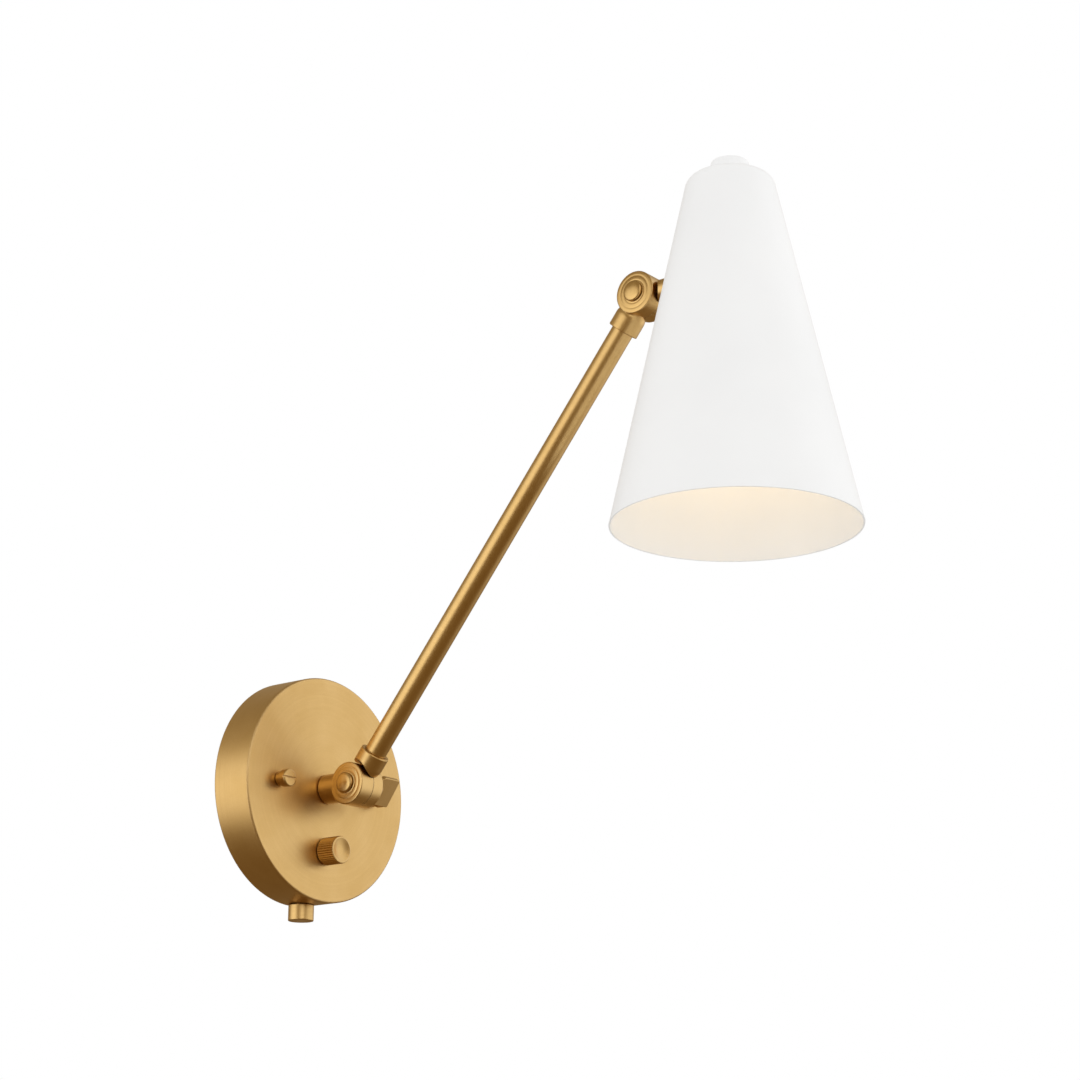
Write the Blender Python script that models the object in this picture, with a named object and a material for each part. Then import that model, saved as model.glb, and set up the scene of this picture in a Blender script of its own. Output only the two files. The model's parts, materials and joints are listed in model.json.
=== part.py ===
"""Swing arm wall sconce.

A round wall canopy carries a short stem that turns in it.  A straight arm hangs between two swivel
knuckles, and the upper knuckle holds a white conical shade with its lamp socket and bulb.

Frame, in metres: the wall is the plane y = 0, the sconce stands out towards -Y, +Z is up, and the
origin is the centre of the mounting bracket's back face.  Every pivot bolt lies along X.
"""
import math

import bmesh
import bpy
from mathutils import Matrix, Vector

# ---------------------------------------------------------------- driving dimensions
GAP = 0.0003                    # clearance between pieces that touch

CANOPY_RADIUS = 0.0635          # a standard 5 inch canopy
CANOPY_DEPTH = 0.0252
CANOPY_WALL = 0.0010

LOWER_PIVOT_STANDOFF = 0.0220   # canopy front to the lower pivot axis
ARM_LENGTH = 0.3146             # pivot to pivot
ARM_ANGLE = math.radians(50.7)  # above horizontal, at rest
TUBE_RADIUS = 0.00615
TUBE_WALL = 0.0010

DISC_RADIUS = 0.0119            # knuckle discs
DISC_LEFT = -0.0090             # outer face of the disc that carries the bolt head
DISC_RIGHT = 0.0102             # outer face of the disc beside the thumb nut
SEAM = 0.0014                   # where the two discs meet
NECK_RADIUS = 0.0084
NECK_LENGTH = 0.0217            # from the pivot axis
DOME_CENTRE = 0.0140            # centre of the cup's round bottom, from the pivot axis
SHADE_NECK_RADIUS = 0.0062
RELIEF_RADIUS = 0.0124          # a neck clears the other disc by this much at the seam
RELIEF_FLARE = 0.0026           # and by this much more at its far side
BOLT_RADIUS = 0.00225
BOLT_HOLE = BOLT_RADIUS + GAP
BUTTON_RADIUS = 0.0057
BOLT_END = 0.0175

PADDLE_ANGLE = math.radians(55)  # above horizontal, seen along the pivot
PADDLE_HALF_WIDTH = 0.0086
PADDLE_END = 0.0300
PADDLE_THICKNESS = 0.0030

NIPPLE_RADIUS = 0.0048          # threaded lamp pipe
NIPPLE_BORE = 0.0034
NIPPLE_HOLE = NIPPLE_RADIUS + GAP

SHADE_OFFSET = 0.0572           # upper pivot axis to the shade's own axis
SHADE_RIM_RADIUS = 0.0650
SHADE_RIM_DROP = 0.1400         # below the upper pivot
SHADE_TOP_RISE = 0.0530         # above the upper pivot
SHADE_SLOPE = 0.2187            # radius lost per metre of height
SHADE_SHOULDER = 0.0070         # fillet between the cone and the flat top
SHADE_WALL = 0.0009
TOP_KNOB_RADIUS = 0.0102
TOP_KNOB_HEIGHT = 0.0087

STUD_SPREAD = 0.0381            # each stud from the centre: 3 inches between them
STUD_RADIUS = 0.0020
KNOB_DROP = 0.0352              # dimmer knob below the centre
KNOB_RADIUS = 0.00775
KNOB_LENGTH = 0.0121
KNOB_RIDGES = 18
DIMMER_BUSHING = 0.0043
SHAFT_RADIUS = 0.0029
SHAFT_END = 0.0090              # beyond the canopy front
PLUG_RADIUS = 0.00715
PLUG_STEM = 0.0037
PLUG_FROM_WALL = 0.0080
PLUG_DROP = 0.0725              # lowest point of the plug, below the centre

BRACKET_THICKNESS = 0.0016
BRACKET_REACH = 0.0520
BRACKET_HALF_WIDTH = 0.0080

BULB_RADIUS = 0.0300            # a standard A19 bulb
BULB_CENTRE = -0.0590           # heights of the lamp parts are from the upper pivot
BULB_NECK_RADIUS = 0.0122

LARGE = 48                      # segments round the canopy and the shade
MEDIUM = 24
SMALL = 16
HEXAGON = 12                    # a corner and a middle for each side of a nut
DISC_SEGMENTS = 32

# ---------------------------------------------------------------- derived places
CANOPY_FRONT = CANOPY_DEPTH
ARM_DIRECTION = Vector((0, -math.cos(ARM_ANGLE), math.sin(ARM_ANGLE)))
LOWER_PIVOT = Vector((0, -CANOPY_FRONT - LOWER_PIVOT_STANDOFF, 0))
UPPER_PIVOT = LOWER_PIVOT + ARM_LENGTH * ARM_DIRECTION
SHADE_AXIS = UPPER_PIVOT + Vector((0, -SHADE_OFFSET, 0))
KNOB_AXIS = Vector((0, 0, -KNOB_DROP))

# Turns about X that point a piece's own +Z along each neck.
TOWARDS_WALL = (-math.pi / 2, 0, 0)
OUTWARD = (math.pi / 2, 0, 0)
UP_THE_ARM = (math.pi / 2 - ARM_ANGLE, 0, 0)
DOWN_THE_ARM = (3 * math.pi / 2 - ARM_ANGLE, 0, 0)
UPRIGHT = (0, 0, 0)

# ---------------------------------------------------------------- materials
FINISHES = {
    "satin_brass": ((0.58, 0.36, 0.13), 1.0, 0.34),
    "white_paint": ((0.86, 0.86, 0.85), 0.0, 0.45),
    "steel": ((0.56, 0.57, 0.58), 1.0, 0.35),
    "bare_brass": ((0.75, 0.56, 0.25), 1.0, 0.30),
    "phenolic": ((0.03, 0.03, 0.03), 0.0, 0.40),
    "frosted_glass": ((0.95, 0.93, 0.88), 0.0, 0.30),
    "black_insulation": ((0.02, 0.02, 0.02), 0.0, 0.50),
    "white_insulation": ((0.80, 0.80, 0.78), 0.0, 0.50),
    "green_insulation": ((0.05, 0.30, 0.09), 0.0, 0.50),
    "orange_plastic": ((0.80, 0.22, 0.03), 0.0, 0.45),
    "fibre": ((0.22, 0.12, 0.06), 0.0, 0.70),
}


def material(finish, owner):
    """A material of its own for one sub-part."""
    colour, metallic, roughness = FINISHES[finish]
    made = bpy.data.materials.new(f"{owner}_{finish}")
    made.use_nodes = True
    shader = made.node_tree.nodes["Principled BSDF"]
    shader.inputs["Base Color"].default_value = (*colour, 1.0)
    shader.inputs["Metallic"].default_value = metallic
    shader.inputs["Roughness"].default_value = roughness
    made.diffuse_color = (*colour, 1.0)
    return made


# ---------------------------------------------------------------- shape tools
def clear_scene():
    for found in list(bpy.data.objects):
        bpy.data.objects.remove(found, do_unlink=True)


def rounded(points, radii, steps=4):
    """A closed outline with a fillet of the given radius at each corner (0 keeps it sharp)."""
    outline = []
    count = len(points)
    for index, radius in enumerate(radii):
        corner = Vector(points[index])
        if radius == 0:
            outline.append(tuple(corner))
            continue
        before = (Vector(points[index - 1]) - corner).normalized()
        after = (Vector(points[(index + 1) % count]) - corner).normalized()
        half_angle = before.angle(after) / 2
        centre = corner + (before + after).normalized() * radius / math.sin(half_angle)
        start = corner + before * radius / math.tan(half_angle) - centre
        end = corner + after * radius / math.tan(half_angle) - centre
        sweep = start.angle_signed(end)
        for step in range(steps + 1):
            turn = Matrix.Rotation(-sweep * step / steps, 2)
            outline.append(tuple(centre + turn @ start))
    return outline


def lathe(profile, segments, axis="Z"):
    """Turn a profile of (radius, height) points about the axis.

    A profile that starts and ends on the axis is left open there; any other one is closed."""
    mesh = bmesh.new()
    verts = [mesh.verts.new((radius, 0, height)) for radius, height in profile]
    edges = [mesh.edges.new(pair) for pair in zip(verts, verts[1:])]
    if profile[0][0] > 0 or profile[-1][0] > 0:
        edges.append(mesh.edges.new((verts[-1], verts[0])))
    bmesh.ops.spin(mesh, geom=verts + edges, cent=(0, 0, 0), axis=(0, 0, 1), angle=2 * math.pi,
                   steps=segments, use_merge=True)
    bmesh.ops.remove_doubles(mesh, verts=mesh.verts, dist=1e-7)
    bmesh.ops.recalc_face_normals(mesh, faces=mesh.faces)
    if axis == "X":
        bmesh.ops.transform(mesh, matrix=Matrix.Rotation(math.pi / 2, 4, "Y"), verts=mesh.verts)
    return mesh


def plate(outline, near, far):
    """A flat outline in X and Z, extruded along Y from near to far."""
    mesh = bmesh.new()
    face = mesh.faces.new([mesh.verts.new((x, near, z)) for x, z in outline])
    grown = bmesh.ops.extrude_face_region(mesh, geom=[face])
    moved = [item for item in grown["geom"] if isinstance(item, bmesh.types.BMVert)]
    bmesh.ops.translate(mesh, verts=moved, vec=(0, far - near, 0))
    bmesh.ops.recalc_face_normals(mesh, faces=mesh.faces)
    return mesh


def rod(radius, start, end, segments=SMALL, axis="Z", at=(0, 0, 0)):
    """A plain solid cylinder between two heights on the axis, moved to a place."""
    mesh = lathe([(0, start), (radius, start), (radius, end), (0, end)], segments, axis)
    bmesh.ops.translate(mesh, verts=mesh.verts, vec=at)
    return mesh


def reshape_outside(mesh, inner_limit, radius_at):
    """Set the radius of every point beyond inner_limit from its angle about Z."""
    for vert in mesh.verts:
        radius = math.hypot(vert.co.x, vert.co.y)
        if radius > inner_limit:
            scale = radius_at(math.atan2(vert.co.y, vert.co.x)) / radius
            vert.co.x *= scale
            vert.co.y *= scale


def add_object(name, mesh, finish):
    data = bpy.data.meshes.new(name)
    mesh.to_mesh(data)
    mesh.free()
    data.shade_smooth()
    data.set_sharp_from_angle(angle=math.radians(35))
    if finish:
        data.materials.append(material(finish, name))
    made = bpy.data.objects.new(name, data)
    bpy.context.scene.collection.objects.link(made)
    return made


def add_piece(name, mesh, finish, location=(0, 0, 0), rotation=UPRIGHT):
    made = add_object(name, mesh, finish)
    made.location = location
    made.rotation_euler = rotation
    return made


def combine(target, mesh, operation, label):
    """Join a shape to the target, or cut it away.  The shape rides on the target."""
    operand = add_object(f"{target.name}_{label}", mesh, None)
    operand.parent = target
    operand.hide_render = True
    operand.display_type = "WIRE"
    modifier = target.modifiers.new(label, "BOOLEAN")
    modifier.operation = operation
    modifier.solver = "EXACT"
    modifier.object = operand


def cut(target, mesh, label):
    combine(target, mesh, "DIFFERENCE", label)


def join(target, mesh, label):
    combine(target, mesh, "UNION", label)


def axis_empty(name, location, parent=None):
    made = bpy.data.objects.new(name, None)
    bpy.context.scene.collection.objects.link(made)
    made.location = location
    made.empty_display_size = 0.02
    if parent:
        attach(made, parent)
    return made


def world_location(node):
    total = Vector()
    while node:
        total += node.location
        node = node.parent
    return total


def attach(child, parent):
    """Parent a piece to an unrotated empty and leave it where it is."""
    child.location -= world_location(parent)
    child.parent = parent


def smooth_path(points, steps=3):
    """Points of a Catmull-Rom curve through the given ones."""
    knots = [Vector(point) for point in points]
    knots = [2 * knots[0] - knots[1]] + knots + [2 * knots[-1] - knots[-2]]
    path = []
    for a, b, c, d in zip(knots, knots[1:], knots[2:], knots[3:]):
        for step in range(steps):
            t = step / steps
            path.append(0.5 * (2 * b + (c - a) * t + (2 * a - 5 * b + 4 * c - d) * t * t
                               + (3 * b - a - 3 * c + d) * t ** 3))
    path.append(knots[-2])
    return path


def wire(name, points, radius, finish):
    """A round insulated wire along a smooth path, with closed ends."""
    curve = bpy.data.curves.new(name, "CURVE")
    curve.dimensions = "3D"
    path = smooth_path(points)
    spline = curve.splines.new("POLY")
    spline.points.add(len(path) - 1)
    for point, place in zip(spline.points, path):
        point.co = (*place, 1)
    curve.bevel_depth = radius
    curve.bevel_resolution = 1
    curve.use_fill_caps = True
    curve.materials.append(material(finish, name))
    made = bpy.data.objects.new(name, curve)
    bpy.context.scene.collection.objects.link(made)
    return made


# ---------------------------------------------------------------- stock hardware
def ring(name, outer, inner, start, end, finish, location, rotation, segments=SMALL):
    profile = [(inner, start), (outer, start), (outer, end), (inner, end)]
    return add_piece(name, lathe(profile, segments), finish, location, rotation)


def hex_nut(name, across_flats, hole, start, end, finish, location, rotation):
    apothem = across_flats / 2

    def hexagon(angle):
        off_flat = angle % math.radians(60) - math.radians(30)
        return apothem / math.cos(off_flat)

    mesh = lathe([(hole, start), (apothem, start), (apothem, end), (hole, end)], HEXAGON)
    reshape_outside(mesh, (hole + apothem) / 2, hexagon)
    return add_piece(name, mesh, finish, location, rotation)


def nipple(name, start, end, location, rotation):
    return ring(name, NIPPLE_RADIUS, NIPPLE_BORE, start, end, "steel", location, rotation)


# ---------------------------------------------------------------- knuckles
# Each swivel is two discs clamped by one bolt.  In a knuckle's own frame the bolt lies along X and
# the neck points along +Z.  Both ends of the arm have a cup with a round bottom, the stem a plain neck.
def relief(side):
    """The space that the other disc turns in, on one side of the seam (-1 left, +1 right).

    Its flat end trims this half's own disc at the seam."""
    edge = SEAM - side * GAP / 2
    reach = NECK_RADIUS + SEAM
    steps = 4
    flare = []
    for step in range(steps + 1):
        across = step / steps
        flare.append((RELIEF_RADIUS + RELIEF_FLARE * across ** 2, edge + side * reach * across))
    far = SEAM + side * (reach + 0.004)
    profile = [(0, edge)] + flare + [(flare[-1][0], far), (0, far)]
    return lathe(profile, MEDIUM, "X")


def wire_chamber(side):
    """The hollow round the bolt, open at the seam, with a seat for the friction washer."""
    hub = 0.0042
    outer = 0.0086
    seat = SEAM + side * 0.0008
    floor = SEAM + side * 0.0062
    mouth = SEAM - side * 0.0010
    profile = [(0, seat), (hub, seat), (hub, floor), (outer, floor), (outer, mouth), (0, mouth)]
    return lathe(profile, SMALL, "X")


def neck_bore(radius, neck_end, depth):
    """A socket for the pipe that the neck holds, with a narrower wire way down to the chamber."""
    way = 0.0030
    profile = [(0, 0.0060), (way, 0.0060), (way, depth), (radius, depth)]
    profile += [(radius, neck_end + 0.001), (0, neck_end + 0.001)]
    return lathe(profile, SMALL)


def knuckle(name, side, neck_profile, neck_end, bore, depth, location, rotation):
    """One half of a swivel: side -1 lies left of the seam and side +1 lies right of it."""
    outer_face = DISC_LEFT if side < 0 else DISC_RIGHT
    past_seam = SEAM - side * 0.0010
    edge = 0.0005
    disc = [(0, outer_face), (DISC_RADIUS - edge, outer_face), (DISC_RADIUS, outer_face - side * edge),
            (DISC_RADIUS, past_seam), (0, past_seam)]
    made = add_piece(name, lathe(disc, DISC_SEGMENTS, "X"), "satin_brass", location, rotation)
    join(made, lathe(neck_profile, MEDIUM), "neck")
    cut(made, relief(-side), "relief")
    cut(made, wire_chamber(side), "chamber")
    cut(made, neck_bore(bore, neck_end, depth), "bore")
    cut(made, rod(BOLT_HOLE, -0.012, 0.012, SMALL, "X"), "bolt_hole")
    return made


def plain_neck_knuckle(name, bore, depth, location, rotation):
    """The left half, whose neck runs straight out of its disc."""
    rim = 0.0006
    neck = [(0, 0), (NECK_RADIUS, 0), (NECK_RADIUS, NECK_LENGTH - rim),
            (NECK_RADIUS - rim, NECK_LENGTH), (0, NECK_LENGTH)]
    return knuckle(name, -1, neck, NECK_LENGTH, bore, depth, location, rotation)


def cup_knuckle(name, side, bore, depth, location, rotation):
    """The half at either end of the arm, whose cup overhangs the other disc."""
    rim = 0.0004
    steps = 5
    dome = []
    for step in range(steps + 1):
        angle = math.pi / 2 * step / steps
        dome.append((NECK_RADIUS * math.sin(angle), DOME_CENTRE - NECK_RADIUS * math.cos(angle)))
    cup = dome + [(NECK_RADIUS, NECK_LENGTH - rim), (NECK_RADIUS - rim, NECK_LENGTH), (0, NECK_LENGTH)]
    return knuckle(name, side, cup, NECK_LENGTH, bore, depth, location, rotation)


def pivot_bolt(name, location):
    """A bolt with a low domed button head against the left disc."""
    seat = DISC_LEFT - GAP
    profile = [(0, seat - 0.0021), (0.0030, seat - 0.0020), (0.0048, seat - 0.0016),
               (BUTTON_RADIUS, seat - 0.0008), (BUTTON_RADIUS, seat), (BOLT_RADIUS, seat),
               (BOLT_RADIUS, BOLT_END), (0, BOLT_END)]
    return add_piece(name, lathe(profile, MEDIUM, "X"), "satin_brass", location)


def friction_washer(name, location):
    """A thin washer on the bolt between the two hubs."""
    profile = [(BOLT_HOLE, SEAM - 0.0005), (0.0040, SEAM - 0.0005), (0.0040, SEAM + 0.0005),
               (BOLT_HOLE, SEAM + 0.0005)]
    return add_piece(name, lathe(profile, SMALL, "X"), "fibre", location)


def thumb_nut(name, location):
    """A flat paddle on a round hub, threaded on the end of the bolt."""
    seat = DISC_RIGHT + GAP
    hub = [(0, seat), (0.0050, seat), (0.0050, seat + 0.0050), (0.0036, seat + 0.0082),
           (0, seat + 0.0088)]
    turn = (math.pi / 2 - PADDLE_ANGLE, 0, 0)
    made = add_piece(name, lathe(hub, SMALL, "X"), "satin_brass", location, turn)
    root = seat + 0.0030
    flare = seat + 0.0075
    wide = PADDLE_HALF_WIDTH
    outline = rounded([(root, -0.0040), (flare, -wide), (PADDLE_END, -wide),
                       (PADDLE_END, wide), (flare, wide), (root, 0.0040)],
                      [0, 0.0020, 0.0010, 0.0010, 0.0020, 0], steps=3)
    paddle = plate(outline, PADDLE_THICKNESS / 2, -PADDLE_THICKNESS / 2)
    long_edges = [edge for edge in paddle.edges if abs(edge.verts[0].co.y - edge.verts[1].co.y) < 1e-6]
    bmesh.ops.bevel(paddle, geom=long_edges, offset=0.0005, segments=1, affect="EDGES")
    join(made, paddle, "paddle")
    cut(made, rod(BOLT_HOLE, seat - 0.001, BOLT_END + GAP, SMALL, "X"), "bore")
    return made


# ---------------------------------------------------------------- wall side
def mounting_bracket():
    """A flat steel cross: studs on its level arms, box screw slots in its upright arms."""
    reach = BRACKET_REACH
    half = BRACKET_HALF_WIDTH
    corners = [(-reach, -half), (-half, -half), (-half, -reach), (half, -reach), (half, -half),
               (reach, -half), (reach, half), (half, half), (half, reach), (-half, reach),
               (-half, half), (-reach, half)]
    ends = 0.0030
    radii = [ends, 0.0010, ends, ends, 0.0010, ends, ends, 0.0010, ends, ends, 0.0010, ends]
    outline = rounded(corners, radii, steps=3)
    made = add_piece("mounting_bracket", plate(outline, -BRACKET_THICKNESS, 0), "steel")
    for label, side in (("upper", 1), ("lower", -1)):
        slot = rounded([(-0.0023, side * 0.0320), (0.0023, side * 0.0320),
                        (0.0023, side * 0.0470), (-0.0023, side * 0.0470)], [0.0022] * 4, steps=4)
        cut(made, plate(slot, -0.004, 0.002), f"{label}_slot")
    for label, x in (("left", -STUD_SPREAD), ("right", STUD_SPREAD), ("ground", 0.0200)):
        hole = lathe([(0, -0.002), (STUD_RADIUS + GAP, -0.002), (STUD_RADIUS + GAP, 0.004), (0, 0.004)],
                     SMALL)
        bmesh.ops.rotate(hole, verts=hole.verts, matrix=Matrix.Rotation(math.pi / 2, 3, "X"))
        bmesh.ops.translate(hole, verts=hole.verts, vec=(x, 0, 0))
        cut(made, hole, f"{label}_hole")
    return made


def canopy():
    """The spun cup that covers the box, with holes for the stem, dimmer, studs and plug."""
    wall = CANOPY_WALL
    edge = 0.0012
    corners = [(0, CANOPY_DEPTH), (CANOPY_RADIUS, CANOPY_DEPTH), (CANOPY_RADIUS, 0),
               (CANOPY_RADIUS - wall, 0), (CANOPY_RADIUS - wall, CANOPY_DEPTH - wall),
               (0, CANOPY_DEPTH - wall)]
    profile = rounded(corners, [0, edge, 0, 0, edge - wall / 2, 0], steps=2)
    made = add_piece("canopy", lathe(profile, LARGE), "satin_brass", rotation=OUTWARD)
    low = CANOPY_DEPTH - 0.004
    high = CANOPY_DEPTH + 0.004
    cut(made, rod(NIPPLE_HOLE, low, high), "stem_hole")
    cut(made, rod(DIMMER_BUSHING + GAP, low, high, at=(0, -KNOB_DROP, 0)), "dimmer_hole")
    for label, x in (("left", -STUD_SPREAD), ("right", STUD_SPREAD)):
        cut(made, rod(STUD_RADIUS + GAP, low, high, at=(x, 0, 0)), f"{label}_stud_hole")
    plug_hole = rod(PLUG_STEM + GAP, CANOPY_RADIUS - 0.006, CANOPY_RADIUS + 0.004)
    bmesh.ops.rotate(plug_hole, verts=plug_hole.verts, matrix=Matrix.Rotation(math.pi / 2, 3, "X"))
    bmesh.ops.translate(plug_hole, verts=plug_hole.verts, vec=(0, 0, PLUG_FROM_WALL))
    cut(made, plug_hole, "plug_hole")
    return made


def stud(name, x):
    """A threaded stud that stands out of the bracket through the canopy."""
    end = CANOPY_DEPTH + 0.0062
    return add_piece(name, rod(STUD_RADIUS, 0.0002, end), "steel", (x, 0, 0), OUTWARD)


def cap_nut(name, x):
    """A round slotted nut on a narrower collar, which draws the canopy to the wall."""
    seat = CANOPY_DEPTH + GAP
    collar = 0.0042
    head = 0.0050
    top = seat + 0.0078
    corners = [(0, seat), (collar, seat), (collar, seat + 0.0030), (head, seat + 0.0034),
               (head, top), (0, top)]
    profile = rounded(corners, [0, 0, 0, 0, 0.0010, 0], steps=3)
    made = add_piece(name, lathe(profile, SMALL), "satin_brass", (x, 0, 0), OUTWARD)
    cut(made, rod(STUD_RADIUS + GAP, seat - 0.001, CANOPY_DEPTH + 0.0066), "bore")
    slot = bmesh.new()
    bmesh.ops.create_cube(slot, size=1.0)
    bmesh.ops.scale(slot, verts=slot.verts, vec=(0.012, 0.0010, 0.0026))
    bmesh.ops.translate(slot, verts=slot.verts, vec=(0, 0, top))
    cut(made, slot, "slot")
    return made


def ground_screw():
    """A pan head screw in the bracket's right arm, which holds the ground wire."""
    face = BRACKET_THICKNESS + GAP
    profile = [(0, 0.0002), (STUD_RADIUS, 0.0002), (STUD_RADIUS, face), (0.0040, face),
               (0.0040, face + 0.0016), (0.0030, face + 0.0024), (0, face + 0.0026)]
    return add_piece("ground_screw", lathe(profile, SMALL), "green_insulation", (0.0200, 0, 0), OUTWARD)


# ---------------------------------------------------------------- dimmer
def dimmer_body():
    """The rotary dimmer: a box behind the canopy front with a threaded bushing through it."""
    back = CANOPY_DEPTH - CANOPY_WALL - GAP
    depth = 0.0125
    half = 0.0105
    outline = rounded([(-half, -half), (half, -half), (half, half), (-half, half)], [0.0015] * 4)
    made = add_piece("dimmer_body", plate(outline, depth - back, -back), "black_insulation",
                     KNOB_AXIS)
    bushing = rod(DIMMER_BUSHING, back - 0.002, CANOPY_DEPTH + 0.0022)
    shaft_way = rod(SHAFT_RADIUS + GAP, back - 0.0080, CANOPY_DEPTH + 0.005)
    for shape in (bushing, shaft_way):
        bmesh.ops.rotate(shape, verts=shape.verts, matrix=Matrix.Rotation(math.pi / 2, 3, "X"))
    join(made, bushing, "bushing")
    cut(made, shaft_way, "shaft_way")
    return made


def dimmer_nut():
    seat = CANOPY_DEPTH + GAP
    return hex_nut("dimmer_nut", 0.0104, DIMMER_BUSHING + GAP, seat, seat + 0.0017, "steel",
                   KNOB_AXIS, OUTWARD)


def dimmer_shaft():
    start = CANOPY_DEPTH - CANOPY_WALL - 0.0075
    return add_piece("dimmer_shaft", rod(SHAFT_RADIUS, start, CANOPY_DEPTH + SHAFT_END),
                     "bare_brass", KNOB_AXIS, OUTWARD)


def dimmer_knob():
    """A straight-knurled knob with a dished face, hollow at the back to clear the nut."""
    seat = CANOPY_DEPTH + 0.0004
    face = seat + KNOB_LENGTH
    flat = KNOB_RADIUS - 0.0012
    skirt = KNOB_RADIUS - 0.0010
    well = seat + 0.0026
    shaft_hole = SHAFT_RADIUS + GAP
    profile = [(0, CANOPY_DEPTH + SHAFT_END + GAP), (shaft_hole, CANOPY_DEPTH + SHAFT_END + GAP),
               (shaft_hole, well), (skirt, well), (skirt, seat), (KNOB_RADIUS, seat + 0.0003),
               (KNOB_RADIUS, face - 0.0012), (KNOB_RADIUS - 0.0004, face - 0.0004), (flat, face),
               (flat * 0.6, face - 0.0005), (0, face - 0.0008)]
    mesh = lathe(profile, 2 * KNOB_RIDGES)
    ridge = 0.0003
    for vert in mesh.verts:
        index = round(math.atan2(vert.co.y, vert.co.x) * KNOB_RIDGES / math.pi)
        if index % 2 and math.hypot(vert.co.x, vert.co.y) > KNOB_RADIUS - 0.0001:
            vert.co.x *= 1 - ridge / KNOB_RADIUS
            vert.co.y *= 1 - ridge / KNOB_RADIUS
    return add_piece("dimmer_knob", mesh, "satin_brass", KNOB_AXIS, OUTWARD)


# ---------------------------------------------------------------- plug in the cord outlet
def outlet_plug():
    """The round plug that closes the cord outlet at the bottom of the canopy."""
    top = -CANOPY_RADIUS - GAP
    edge = 0.0005
    profile = [(0, -PLUG_DROP), (PLUG_RADIUS - edge, -PLUG_DROP), (PLUG_RADIUS, -PLUG_DROP + edge),
               (PLUG_RADIUS, top), (PLUG_STEM, top), (PLUG_STEM, -0.0565), (0, -0.0565)]
    return add_piece("outlet_plug", lathe(profile, MEDIUM), "satin_brass", (0, -PLUG_FROM_WALL, 0))


def outlet_plug_nut():
    return hex_nut("outlet_plug_nut", 0.0110, PLUG_STEM + GAP, -0.0616, -0.0588, "steel",
                   (0, -PLUG_FROM_WALL, 0), UPRIGHT)


# ---------------------------------------------------------------- wiring in the canopy
def wire_connector(name, x, z):
    """A twist-on connector lying level, with its mouth towards the middle."""
    side = 1 if x > 0 else -1
    mesh = lathe([(0, 0.0040), (0.0034, 0.0040), (0.0042, 0), (0.0052, 0), (0.0048, 0.0070),
                  (0.0034, 0.0170), (0, 0.0180)], 16, "X")
    made = add_piece(name, mesh, "orange_plastic", (x, -0.0125, z))
    made.rotation_euler = (0, 0, 0) if side > 0 else (0, 0, math.pi)
    return made


def canopy_wires():
    nipple_end = -CANOPY_DEPTH + 0.0125
    near = nipple_end + 0.0014
    left = wire("line_wire", [(-0.0012, near, 0.0012), (-0.0020, near + 0.0030, 0.0060),
                              (-0.0010, -0.0070, 0.0160), (-0.0020, -0.0100, 0.0270),
                              (-0.0080, -0.0125, 0.0300), (-0.0156, -0.0125, 0.0300)],
                0.0009, "black_insulation")
    right = wire("neutral_wire", [(0.0012, near, 0.0012), (0.0030, near + 0.0030, 0.0060),
                                  (0.0040, -0.0080, 0.0160), (0.0050, -0.0110, 0.0270),
                                  (0.0095, -0.0125, 0.0300), (0.0156, -0.0125, 0.0300)],
                 0.0009, "white_insulation")
    ground = wire("ground_wire", [(0.0004, near, -0.0014), (0.0030, near + 0.0040, -0.0050),
                                  (0.0100, -0.0070, -0.0060), (0.0170, -0.0056, -0.0030),
                                  (0.0200, -0.0056, 0.0000)],
                  0.0007, "green_insulation")
    lead = wire("dimmer_lead", [(-0.0060, -0.0180, -0.0243), (-0.0080, -0.0170, -0.0180),
                                (-0.0150, -0.0120, -0.0080), (-0.0140, -0.0090, 0.0060),
                                (-0.0090, -0.0100, 0.0200), (-0.0100, -0.0110, 0.0268),
                                (-0.0156, -0.0112, 0.0278)],
                0.0009, "black_insulation")
    return [left, right, ground, lead]


# ---------------------------------------------------------------- stem
def stem_parts():
    """The turning stem: its knuckle, the pipe through the canopy and what holds it."""
    inside = LOWER_PIVOT_STANDOFF + CANOPY_WALL + GAP
    parts = [
        plain_neck_knuckle("stem_knuckle", NIPPLE_HOLE, 0.0135, LOWER_PIVOT, TOWARDS_WALL),
        nipple("stem_nipple", 0.0138, LOWER_PIVOT_STANDOFF + 0.0127, LOWER_PIVOT, TOWARDS_WALL),
        ring("stem_spring_washer", 0.0090, NIPPLE_HOLE, inside, inside + 0.0012, "steel",
             LOWER_PIVOT, TOWARDS_WALL),
        hex_nut("stem_lock_nut", 0.0140, NIPPLE_HOLE, inside + 0.0012 + GAP, inside + 0.0050, "steel",
                LOWER_PIVOT, TOWARDS_WALL),
        pivot_bolt("lower_pivot_bolt", LOWER_PIVOT),
        friction_washer("lower_friction_washer", LOWER_PIVOT),
    ]
    return parts


# ---------------------------------------------------------------- arm
def arm_parts():
    """The straight tube with a cup at its lower end and a plain neck at its upper end."""
    seat = 0.0140
    start = seat + GAP
    end = ARM_LENGTH - seat - GAP
    inner = TUBE_RADIUS - TUBE_WALL
    bore = TUBE_RADIUS + GAP
    return [
        cup_knuckle("arm_lower_knuckle", 1, bore, seat, LOWER_PIVOT, UP_THE_ARM),
        ring("arm_tube", TUBE_RADIUS, inner, start, end, "satin_brass", LOWER_PIVOT, UP_THE_ARM, MEDIUM),
        add_piece("arm_cable", rod(0.0024, start, end, 12), "black_insulation", LOWER_PIVOT, UP_THE_ARM),
        cup_knuckle("arm_upper_knuckle", -1, bore, seat, UPPER_PIVOT, DOWN_THE_ARM),
        pivot_bolt("upper_pivot_bolt", UPPER_PIVOT),
        friction_washer("upper_friction_washer", UPPER_PIVOT),
    ]


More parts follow.
